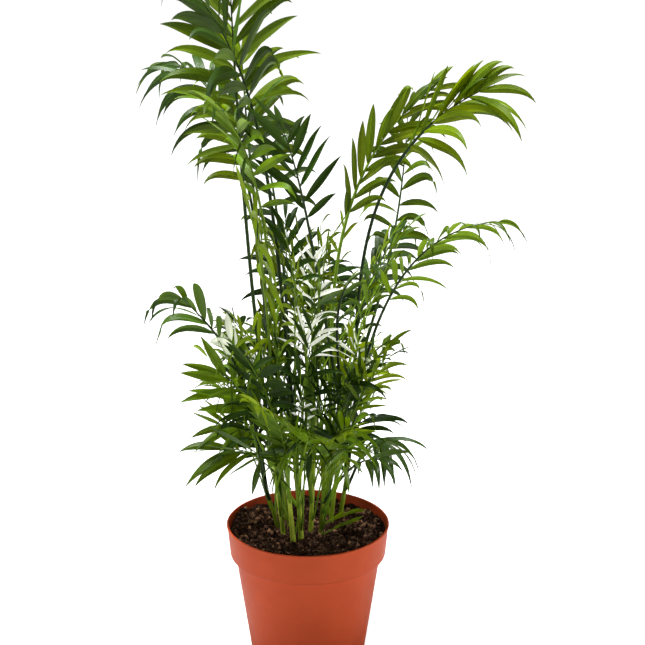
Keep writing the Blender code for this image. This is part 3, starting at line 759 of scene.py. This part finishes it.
# %% [markdown]
# ## The canes
#
# A palm's cane is wrapped in the sheaths of its fronds.  Each sheath clasps the
# cane from one ring up to a slanting free edge, where the next one shows from
# inside it and is narrower.  So the radius grows a little along each sheath,
# drops at the edge, and the edge is set at a slant round the cane.

# %% Canes
def cane_tube(cane):
    """Radius = taper * (1 + sheath + ridges), with a slanted sawtooth sheath."""
    rings, sides = 110, 20
    share = np.linspace(0.0, 1.0, rings)
    own = np.random.default_rng([SEED, ord(cane.name)])
    centre = np.stack([cane_point(cane, s)[0] for s in share])
    centre[0, 2] -= 4 * MM
    radius = cane.radius * MM * (1.0 + (CANE_TAPER - 1.0) * share)
    turn = even_turns(sides)
    spacing = own.uniform(26, 36) * MM
    slant = own.uniform(3.0, 5.0) * MM * np.cos(turn + own.uniform(0, math.tau))
    climb = (share[:, None] * cane.height * MM + slant + own.uniform(0, 1) * spacing) / spacing
    inside = climb % 1.0
    sheath = 0.13 * inside**0.6 * np.clip((1.0 - inside) / 0.06, 0.0, 1.0)
    ridges = 0.018 * np.cos(7 * turn + own.uniform(0, math.tau))
    foot = 0.16 * np.exp(-share * cane.height / 9.0)
    size = radius[:, None] * 0.93 * (1.0 + sheath + ridges + foot[:, None])
    flat = np.zeros((rings, 3))
    points, quads, caps, along = tube(centre, flat + [1, 0, 0], flat + [0, 1, 0], size)
    tone = np.concatenate([(inside * 0.6 + 0.4 * (np.floor(climb) * 0.37 % 1.0)).ravel(), [0.5, 0.5]])
    return points, quads, caps, along, tone


BRIGHT_CANES = "bdegi"
cane_pieces = {}
for name, wanted in (("bright_canes", BRIGHT_CANES), ("green_canes", set(CANES) - set(BRIGHT_CANES))):
    chosen = [cane for cane in CANES.values() if cane.name in wanted]
    piece = add_piece(name, *joined([cane_tube(cane) for cane in chosen]))
    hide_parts(*["cane_" + cane.name for cane in chosen])
    cane_pieces[name] = piece

# %% [markdown]
# ## Stalk material
#
# A sheath is pale where it is young and deeper green where light reaches it.
# Colour runs along the sheath with the attribute "tone", and fine fibres run up
# the stalk, so the vein group is used with the UV map.

# %% Stalk materials
def stalk(name, low, high, roughness, lines):
    """Two greens along each sheath, fine fibres and a satin skin."""
    material, tree, surface = new_material(name, roughness, 0.20)
    place = add_node(tree, "ShaderNodeTexCoord")
    own = add_node(tree, "ShaderNodeAttribute", attribute_name="tone").outputs["Fac"]
    patch = add_group(tree, mottle, Place=place.outputs["Object"], Colour=low, Other=high,
                      Size=90.0, Amount=0.6)
    shift = mixed(tree, own, patch.outputs["Colour"], high)
    strand = add_group(tree, veins, Along=place.outputs["UV"], Count=lines, Waver=0.05).outputs["Lines"]
    darker = ranged(tree, strand, to_low=0.82, to_high=1.06)
    grey = add_node(tree, "ShaderNodeCombineColor", Red=darker, Green=darker, Blue=darker).outputs[0]
    tree.links.new(mixed(tree, 1.0, shift, grey, "MULTIPLY"), surface.inputs["Base Color"])
    bumped(tree, surface, strand, 0.35, 0.0003)
    return material


cane_pieces["bright_canes"].data.materials.append(
    stalk("bright cane", (0.34, 0.50, 0.020, 1), (0.74, 0.86, 0.110, 1), 0.38, 12.0))
cane_pieces["green_canes"].data.materials.append(
    stalk("green cane", (0.150, 0.270, 0.010, 1), (0.44, 0.57, 0.040, 1), 0.40, 12.0))

# %% [markdown]
# ## Side fronds
#
# The CAD holds the fronds that give the crown its outline.  Between them the
# real plant has many small young fronds, too many for the file.  They grow
# here by the same rule, four from each cane and one long shoot from its foot.
# Lean, heading and size are dealt by seeded dice, and the number of each throw
# is kept in a table: of ninety throws it is the one that stays inside the
# crown and fills a thin place best.  Beside it stands the frond's kind.  Both
# were searched out, and the kind was taken from how light or dark the crown is
# there, so a shade kind is painted shade and a fresh kind partly painted light.  A separate script found
# both, and took the kind from how light or dark the crown is there.
# Six shoots with a place of their own, four cream or green and two sprouts on
# the ground, have rows like those of the large fronds.

# %% Side fronds
# The kind words deal painted light and shade: shade is a near-black painted shade, fresh a green that is
# partly painted light, after how dark or light the crown is there.
SIDE_DICE = {row[0]: list(zip(row[1::2], row[2::2])) for row in table("""
a 9 green 77 green 66 shade 65 green 28 green
b 61 shade 40 green 81 shade 78 fresh 47 shade
c 67 shade 82 fresh 4 green 31 fresh 71 green
d 4 fresh 78 green 32 green 50 shade 10 shade
e 32 green 85 shade 13 shade 89 fresh 68 green
f 29 shade 16 green 37 fresh 13 fresh 20 fresh
g 53 shade 42 shade 32 shade 82 fresh 21 shade
h 32 green 87 green 11 shade 69 green 11 fresh
i 9 shade 56 green 86 fresh 83 green 52 shade
j 10 green 47 green 15 shade 5 fresh 24 fresh
k 13 fresh 58 shade 84 fresh 44 fresh 5 shade
l 45 shade 88 green 27 fresh 3 green 44 fresh
m 74 green 1 shade 30 fresh 60 fresh 63 fresh
n 86 green 86 shade 59 fresh 84 fresh 16 shade
""")}
OWN_SHOOTS = [Frond(*row) for row in table("""
side_pale_left d 0.95 204 0 19 6 1.2 150 0.80 75 2 43 0.4 34
side_green_fan a 1.0 196 0 38 62 0.8 44 0.22 72 4 68 0.55 50
side_pale_top g 0.95 270 0 8 5 1.4 195 0.50 -15 6 34 0.8 52
side_pale_low e 0.75 285 0 10 20 1.4 78 0.60 20 3 24 0.6 60
side_fresh_sprout i 0.03 330 10 46 20 1.2 34 0.20 20 3 32 0.3 36
side_fresh_sprout_2 h 0.03 345 14 50 20 1.2 30 0.20 30 3 28 0.3 38
""")]
SIDE_RANGES = {  # for at, heading, swing, lean and so on, in the order of a frond's row
    "young": ((0.0, 0.12), (-110, 110), (-30, 30), (2, 18), (12, 64), (1.0, 2.6), (100, 250),
              (0.45, 0.60), (-70, 70), (4, 7), (42, 66), (0.4, 1.3), (46, 74)),
    "long": ((0.02, 0.12), (-110, 110), (-20, 20), (1, 10), (6, 30), (1.0, 2.0), (190, 340),
             (0.58, 0.72), (-70, 70), (4, 7), (38, 56), (0.4, 1.2), (44, 68)),
}
YOUNG_EACH, FIRST_AT, AT_STEP = 4, 0.22, 0.18


def side_frond(cane, k, number, kind):
    """Deal one young frond; the last of a cane is a long shoot from its foot."""
    young = k < YOUNG_EACH
    deal = np.random.default_rng([23, ord(cane.name), k, number]).uniform
    sizes = [deal(low, high) for low, high in SIDE_RANGES["young" if young else "long"]]
    if young:
        sizes[0] = FIRST_AT + AT_STEP * k + sizes[0]
    sizes[1] += math.degrees(math.atan2(cane.y - 8, cane.x))
    sizes[9] = int(sizes[9])
    return Frond(f"side_{kind}_{cane.name}{k}", cane.name, *sizes)


SIDE_FRONDS = OWN_SHOOTS + [side_frond(cane, k, *SIDE_DICE[cane.name][k])
                            for cane in CANES.values() for k in range(YOUNG_EACH + 1)]
ALL_FRONDS = FRONDS + SIDE_FRONDS
print(len(SIDE_FRONDS), "side fronds")

# %% [markdown]
# ## Ribs
#
# A petiole clasps its cane with a widened foot, runs bare and round, and thins
# out to a thread at the frond's end.

# %% Ribs
def rib_tube(frond):
    """Nearly even along the petiole, then thin; the foot bends into its cane."""
    rings, sides = 40, 8
    share = np.linspace(0.0, 1.0, rings) ** 1.15
    centre, tangent, normal, left = frond_frames(frond, share)
    radius = np.interp(share, [0.0, frond.bare, 1.0], [1.25, 1.0, 0.26]) * PETIOLE_RADIUS
    if frond.name.startswith("side"):
        radius = radius * 0.50
    elif "tall" not in frond.name:
        radius = radius * 0.85
    foot = np.exp(-share * frond.length / 9.0)
    radius = radius * (1.0 + 0.35 * foot)
    if frond.at < 1:
        inward = cane_point(CANES[frond.cane], frond.at)[0] - centre[0]
        centre = centre + inward * (0.85 * foot)[:, None]
    turn = even_turns(sides)
    groove = 1.0 - 0.14 * np.clip(np.sin(turn), 0.0, 1.0) ** 2
    points, quads, caps, along = tube(centre, left, normal, radius[:, None] * groove)
    own = np.random.default_rng([SEED, 5, *frond.name.encode()]).random()
    return points, quads, caps, along, np.full(len(points), own)


LIGHT_RIBS = ("left_front_1", "middle_left", "middle_low", "front", "pale", "left_low_4",
              "right_tall_2", "side")
rib_pieces = {}
for name in ("light_ribs", "dark_ribs"):
    light = name == "light_ribs"
    chosen = [frond for frond in ALL_FRONDS if frond.name.startswith(LIGHT_RIBS) == light]
    rib_pieces[name] = add_piece(name, *joined([rib_tube(frond) for frond in chosen]))
rib_pieces["light_ribs"].data.materials.append(
    stalk("light rib", (0.080, 0.180, 0.008, 1), (0.26, 0.42, 0.024, 1), 0.40, 5.0))
# Painted shade: these ribs are near-black green, the petioles' own deep green darkened for the shade
# they stand in.
rib_pieces["dark_ribs"].data.materials.append(
    stalk("dark rib", (0.010, 0.028, 0.005, 1), (0.030, 0.066, 0.009, 1), 0.42, 5.0))

# %% [markdown]
# ## Leaflets
#
# A leaflet of this palm is a lance: narrow where it joins the rib, widest
# before its middle, and drawn out to a thin tip that hangs.  It is folded a
# little along its midrib, twists, and bends under its own weight.  A textured
# card would need a see-through picture, so each leaflet is a real sheet of a
# few dozen faces, and all leaflets of one frond are worked out at once.

# %% Plan of the leaflets
LEAF_LAST_ANGLE, LEAF_LIFT, LEAF_WILD = 16.0, 14.0, 9.0
LEAF_PITCH, LEAF_PITCH_WILD, FOLDED_CLOSE = 24.0, 22.0, 0.62
LEAF_SLIM, LEAF_MIN_WIDTH, LEAF_MAX_WIDTH = 0.132, 3.6 * MM, 12.0 * MM
DROOP_DICE, DROOP_UPRIGHT = (0.6, 1.5), 0.3
FOLDED = ("right_tall", "right_arch", "left_low_1", "left_back")
STIFF = {"left_low_1": 1.0, "left_low": 0.5, "left_front": 0.6, "front": 0.6, "pale": 0.4,
         "middle_fan": 0.6, "side": 0.8, "left_tall_1": 0.75}
WIDTHS = {"pale_3": 0.80, "pale_4": 1.5, "pale": 0.64, "side_pale_left": 1.9, "side_pale": 0.8,
          "side_fresh_sprout": 1.3, "side_green_fan": 1.25, "side": 0.74, "left_low_1": 0.90,
          "left_low_2": 1.25, "left_low_3": 0.95, "left_low_4": 1.3, "left_low_5": 1.3,
          "right_low": 1.05, "right_arch": 0.95, "left_tall": 1.08, "front": 1.2}


def looked_up(ratios, frond):
    """The ratio of the first start that the frond's name has, or one."""
    return next((ratio for start, ratio in ratios.items() if frond.name.startswith(start)), 1.0)


def leaf_plan(frond):
    """Place, side, length, angle and droop of each leaflet of a frond.

    Lengths rise over the first part of the blade and fall again near its end,
    and the angle to the rib closes from spread to a narrow fork.
    """
    count = 2 * frond.pairs
    k = np.arange(count)
    place = (k + 0.5) / count
    rise = 0.72 + 0.28 * np.sin(math.pi / 2 * np.minimum(place / 0.45, 1.0))
    fall = 1.0 - 0.38 * np.maximum(0.0, (place - 0.5) / 0.5) ** 1.6
    chance = np.random.default_rng([SEED, *frond.name.encode()]).random((count, 3))
    length = frond.leaf * MM * rise * fall * (0.93 + 0.14 * chance[:, 0])
    angle = frond.spread + (LEAF_LAST_ANGLE - frond.spread) * place**1.25 + 10.0 * chance[:, 1] - 5.0
    droop = frond.droop * (DROOP_DICE[0] + (DROOP_DICE[1] - DROOP_DICE[0]) * chance[:, 2])
    side = np.where(k % 2 == 0, 1.0, -1.0)
    return place, side, length, np.radians(angle), droop


# %% The sheet of one frond's leaflets
STATIONS, ACROSS, WIDEST = 13, 5, 4


def frond_leaves(frond):
    """All leaflets of a frond as one stack of small grids.

    The midrib starts along its heading and turns down in proportion to the
    distance, and some tips hang more.  An upright leaflet bends least, and on
    arching fronds the upper row lies close along the rib.  Half the width at
    share t is width / 2 * (0.13 (1-t)^6 + 3.75 t^0.82 (1-t)^1.12), and the sheet
    drops from midrib to margin by a fold that opens along it.
    """
    place, side, length, angle, droop = leaf_plan(frond)
    count = len(place)
    share = frond.bare + (1.0 - frond.bare) * place
    root, tangent, normal, left = frond_frames(frond, share)
    own = np.random.default_rng([SEED, 9, *frond.name.encode()])
    lift = np.radians(LEAF_LIFT + own.normal(0.0, LEAF_WILD, count))[:, None]
    angle = angle + np.radians(own.normal(0.0, 6.0, count))
    if frond.name.startswith(FOLDED):
        angle = np.where((side[:, None] * left)[:, 2] > 0, FOLDED_CLOSE * angle, angle)
    pitch = np.radians(LEAF_PITCH + own.normal(0.0, LEAF_PITCH_WILD, count))[:, None]
    outward = side[:, None] * left
    away = np.cos(lift) * outward + np.sin(lift) * normal
    up = np.cos(lift) * normal - np.sin(lift) * outward
    cos, sin = np.cos(angle)[:, None], np.sin(angle)[:, None]
    heading = cos * tangent + sin * away
    across = np.cos(pitch) * (sin * tangent - cos * away) + np.sin(pitch) * up
    level = np.linalg.norm(heading[:, :2], axis=1)
    limp = looked_up(STIFF, frond)
    droop = limp * (droop * (DROOP_UPRIGHT + (1.0 - DROOP_UPRIGHT) * level))[:, None]
    down = np.array([0.0, 0.0, -1.0])

    t = np.linspace(0.0, 1.0, STATIONS)
    half = 0.5 * (t[1:] + t[:-1])
    hang = limp * (0.35 + 1.3 * own.random((count, 1)) ** 2) * (0.30 + droop)
    fall = 0.95 * droop * half + hang * half**4
    stretch = 1.0 - 0.25 * droop * half - 0.30 * hang * half**4
    step = heading[:, None] * stretch[..., None] + down * fall[..., None]
    step *= (length[:, None] * np.diff(t))[..., None]
    line = np.concatenate([np.zeros((count, 1, 3)), np.cumsum(step, 1)], 1) + root[:, None]
    line += (outward * 0.5 + normal * 0.3)[:, None] * PETIOLE_RADIUS * (1.0 - 0.5 * place)[:, None, None]

    way = unit(np.gradient(line, axis=1))
    wide = unit(across[:, None] - way * (across[:, None] * way).sum(-1)[..., None])
    thick = np.cross(way, wide)
    thick *= np.sign((thick * normal[:, None]).sum(-1))[..., None]
    twist = own.normal(0.0, 0.30, count)[:, None] * t[None]
    wide, thick = (np.cos(twist)[..., None] * wide + np.sin(twist)[..., None] * thick,
                   np.cos(twist)[..., None] * thick - np.sin(twist)[..., None] * wide)

    width = looked_up(WIDTHS, frond) * np.clip(length * LEAF_SLIM, LEAF_MIN_WIDTH, LEAF_MAX_WIDTH)
    width = width * own.uniform(0.85, 1.12, count)
    shape = 0.13 * (1.0 - t) ** 6 + 3.75 * t**0.82 * (1.0 - t) ** 1.12
    u = np.array([-1.0, -0.25, 0.0, 0.25, 1.0])
    reach = 0.5 * width[:, None, None] * shape[None, :, None] * u
    fold = (0.55 - 0.38 * np.sin(math.pi * t**0.6)) * own.uniform(0.7, 1.5, count)[:, None]
    ripple = 0.06 * np.sin(math.tau * (1.6 * t + own.random((count, 1))))
    sink = -np.abs(reach) * (fold[..., None] + ripple[..., None] * u)
    points = line[:, :, None] + reach[..., None] * wide[:, :, None] + sink[..., None] * thick[:, :, None]
    along = np.stack(np.broadcast_arrays((u + 1) / 2, t[:, None]), -1)
    along = np.broadcast_to(along, (count, STATIONS, ACROSS, 2))
    tone = np.broadcast_to(own.random((count, 1, 1)), (count, STATIONS, ACROSS))
    faces = many(grid_quads(STATIONS, ACROSS), count, STATIONS * ACROSS)
    flip = (np.cross(way[:, WIDEST], wide[:, WIDEST]) * thick[:, WIDEST]).sum(-1) > 0
    faces = faces.reshape(count, -1, 4)
    faces[flip] = faces[flip][..., ::-1]
    return points.reshape(-1, 3), faces.reshape(-1, 4), NO_TRIANGLES, along.reshape(-1, 2), tone.ravel()


# %% [markdown]
# ### Five kinds of leaflet
#
# Old fronds are deep green with a grey gloss, others are a middle green, young
# ones a fresh yellow green, and a few shoots are cream-white with green lines.
# The shade kind is painted shade: inside the crown, where little light comes,
# its leaflets are near-black green.  The fresh yellow green is partly painted
# light as well, given to fronds that stand in the light.
# Each kind is one joined piece with its own colour, so that a frond keeps its
# tint wherever the piece goes.

# %% Deal the fronds out and grow them
KINDS = {
    "pale_leaflets": ("pale", "side_pale"),
    "fresh_leaflets": ("right_tall", "middle_left", "left_tall_2", "front_1", "front_3", "front_low_1",
                       "side_fresh"),
    "shade_leaflets": ("back_", "left_low_4", "middle_low", "middle_fan", "front_low_4",
                       "side_shade"),
    "deep_leaflets": ("left_tall_3", "left_back", "right_arch_2", "left_low_1", "right_front_1",
                      "left_low_3", "right_low_1", "right_low_5"),
}


def kind_of(frond):
    """The first kind whose list has the start of the frond's name."""
    for kind, starts in KINDS.items():
        if frond.name.startswith(starts):
            return kind
    return "green_leaflets"


leaf_pieces = {}
for kind in [*KINDS, "green_leaflets"]:
    chosen = [frond for frond in ALL_FRONDS if kind_of(frond) == kind]
    piece = add_piece(kind, *joined([frond_leaves(frond) for frond in chosen]))
    named = ["frond_" + frond.name for frond in chosen if not frond.name.startswith("side")]
    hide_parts(*named)
    leaf_pieces[kind] = piece

# %% [markdown]
# ### Leaflet material
#
# A leaflet is thin: light falls on one side and some of it comes out of the
# other, yellower than it went in.  So the material mixes a glossy Principled
# surface with a Translucent one.  Fine parallel veins run along the UV map, the
# midrib is a light line, each leaflet has its own tone, the underside is paler
# than the top, and the last few millimetres of the tip are a little dry.  The
# underside's paler green is partly its own and partly painted light, standing
# for light that shines through from behind.  A cream leaflet has no green to
# swallow light; a faint glow of its own colour is painted light that keeps it
# bright where it lies in shade.

# %% Leaflet materials
MARGIN_GREEN, DRY_TIP = (0.05, 0.13, 0.012, 1), (0.16, 0.11, 0.035, 1)


def leaf_material(name, dark, bright, under, through, gloss, roughness, thin, stripes, edge=0.0):
    """Veined green under gloss, a paler underside with painted backlight, light through it."""
    material, tree, surface = new_material(name, roughness, gloss)
    place = add_node(tree, "ShaderNodeTexCoord")
    own = add_node(tree, "ShaderNodeAttribute", attribute_name="tone").outputs["Fac"]
    patch = add_group(tree, mottle, Place=place.outputs["Object"], Colour=dark, Other=bright,
                      Size=42.0, Amount=0.55)
    colour = mixed(tree, ranged(tree, own, 0.2, to_high=0.9), patch.outputs["Colour"], bright)
    strand = add_group(tree, veins, Along=place.outputs["UV"], Count=7.0, Waver=0.03).outputs["Lines"]
    apart = add_node(tree, "ShaderNodeSeparateXYZ", Vector=place.outputs["UV"])
    aside = maths(tree, "ABSOLUTE", maths(tree, "SUBTRACT", apart.outputs["X"], 0.5))
    midrib = ranged(tree, aside, 0.02, 0.07, 1.0, 0.0)
    colour = mixed(tree, ranged(tree, strand, to_high=stripes), colour, dark)
    colour = mixed(tree, maths(tree, "MULTIPLY", midrib, 0.6), colour, bright)
    colour = mixed(tree, ranged(tree, aside, 0.36, 0.44, to_high=edge), colour, MARGIN_GREEN)
    colour = mixed(tree, ranged(tree, apart.outputs["Y"], 0.95, to_high=0.7), colour, DRY_TIP)
    # Partly painted light: the underside colour is its own paler green brightened as if lit through from
    # behind.
    turned_over = add_node(tree, "ShaderNodeNewGeometry").outputs["Backfacing"]
    colour = mixed(tree, maths(tree, "MULTIPLY", turned_over, 0.75), colour, under)
    tree.links.new(colour, surface.inputs["Base Color"])
    bumped(tree, surface, maths(tree, "MULTIPLY_ADD", midrib, 2.0, strand), 0.30, 0.0004)
    glow = mixed(tree, 0.25, through, colour, "MULTIPLY")
    behind = add_node(tree, "ShaderNodeBsdfTranslucent", Color=glow)
    both = add_node(tree, "ShaderNodeMixShader", _0=thin, _1=surface.outputs[0], _2=behind.outputs[0])
    tree.links.new(both.outputs[0], tree.nodes["Material Output"].inputs["Surface"])
    return material


LEAF_LOOKS = {
    "deep_leaflets": (
        "deep leaf", (0.003, 0.010, 0.002, 1), (0.046, 0.102, 0.018, 1), (0.066, 0.142, 0.016, 1),
        (0.22, 0.38, 0.002, 1), 0.26, 0.36, 0.16, 0.8),
    # Painted shade: near-black green for the leaflets inside the crown.
    "shade_leaflets": (
        "shade leaf", (0.002, 0.008, 0.001, 1), (0.014, 0.040, 0.003, 1), (0.026, 0.066, 0.004, 1),
        (0.14, 0.28, 0.002, 1), 0.12, 0.42, 0.08, 0.8),
    "green_leaflets": (
        "green leaf", (0.004, 0.015, 0.001, 1), (0.108, 0.198, 0.008, 1), (0.118, 0.228, 0.008, 1),
        (0.38, 0.58, 0.002, 1), 0.20, 0.38, 0.22, 0.85),
    # Partly painted light: the fresh yellow green also brightens fronds that stand in the light.
    "fresh_leaflets": (
        "fresh leaf", (0.009, 0.030, 0.001, 1), (0.172, 0.285, 0.008, 1), (0.190, 0.310, 0.010, 1),
        (0.54, 0.68, 0.002, 1), 0.18, 0.38, 0.27, 0.85),
    "pale_leaflets": (
        "pale leaf", (0.40, 0.50, 0.20, 1), (1.0, 1.0, 0.93, 1), (0.98, 0.99, 0.90, 1),
        (1.0, 1.0, 0.90, 1), 0.25, 0.45, 0.25, 0.30, 0.85),
}
for kind, look in LEAF_LOOKS.items():
    leaf_pieces[kind].data.materials.append(leaf_material(*look))

# Painted light: the cream leaflets glow faintly in their own colour to stay bright in the crown's shade.
CREAM_PAINTED_GLOW = 0.58
cream = bpy.data.materials["pale leaf"].node_tree
sockets = cream.nodes["Principled BSDF"].inputs
cream.links.new(sockets["Base Color"].links[0].from_socket, sockets["Emission Color"])
sockets["Emission Strength"].default_value = CREAM_PAINTED_GLOW

# %% [markdown]
# ## Floor and light
#
# A plant on white paper is lit softly from all round: a strong large light hangs
# above it, and weaker ones stand at both sides and in front.  The floor is plain
# and pale.  It glows a little of its own, as an overexposed paper sweep does, so
# that it reads as white while the pot still leaves a faint shadow at its foot.

# %% Floor, lights and world
FLOOR_HALF, FLOOR_DROP, FLOOR_GLOW = 14, 0.0005, 0.90
WORLD_LIGHT = 0.045

corners = [(x, y, -FLOOR_DROP) for x, y in FLOOR_HALF * np.array([(-1, -1), (1, -1), (1, 1), (-1, 1)])]
floor_mesh = bpy.data.meshes.new("floor")
floor_mesh.from_pydata(corners, [], [(0, 1, 2, 3)])
floor = bpy.data.objects.new("floor", floor_mesh)
bpy.context.scene.collection.objects.link(floor)
material, tree, surface = new_material("white paper", 0.9, 0.1)
surface.inputs["Base Color"].default_value = (0.66, 0.66, 0.66, 1)
surface.inputs["Emission Color"].default_value = (1, 1, 1, 1)
seen = add_node(tree, "ShaderNodeLightPath").outputs["Is Camera Ray"]
tree.links.new(maths(tree, "MULTIPLY", seen, FLOOR_GLOW), surface.inputs["Emission Strength"])
floor_mesh.materials.append(material)


def soft_light(name, place, target, size, power):
    """A large area light that looks at a point."""
    data = bpy.data.lights.new(name, "AREA")
    data.shape = "SQUARE"
    data.size = size
    data.energy = power
    lamp = bpy.data.objects.new(name, data)
    lamp.location = place
    aim = np.array(target) - np.array(place)
    lamp.rotation_euler = (math.acos(-aim[2] / np.linalg.norm(aim)), 0.0, math.atan2(-aim[0], aim[1]))
    lamp.visible_camera = False
    bpy.context.scene.collection.objects.link(lamp)
    print(name, power, "W")


soft_light("top light", (-0.25, 0.10, 2.2), (0, 0, 0.4), 0.7, 100)
soft_light("left light", (-1.9, -0.50, 0.75), (0, 0, 0.25), 0.8, 7.5)
soft_light("right light", (1.9, -0.50, 0.75), (0, 0, 0.25), 0.8, 14)
soft_light("front light", (0.10, -2.2, 1.05), (0, 0, 0.15), 0.7, 0.6)

world = bpy.data.worlds.new("white studio")
world.use_nodes = True
tree = world.node_tree
backdrop = tree.nodes["Background"]
backdrop.inputs["Color"].default_value = (1, 1, 1, 1)
seen = add_node(tree, "ShaderNodeLightPath").outputs["Is Camera Ray"]
tree.links.new(ranged(tree, seen, to_low=WORLD_LIGHT), backdrop.inputs["Strength"])
bpy.context.scene.world = world
bpy.context.scene.view_settings.view_transform = "Standard"
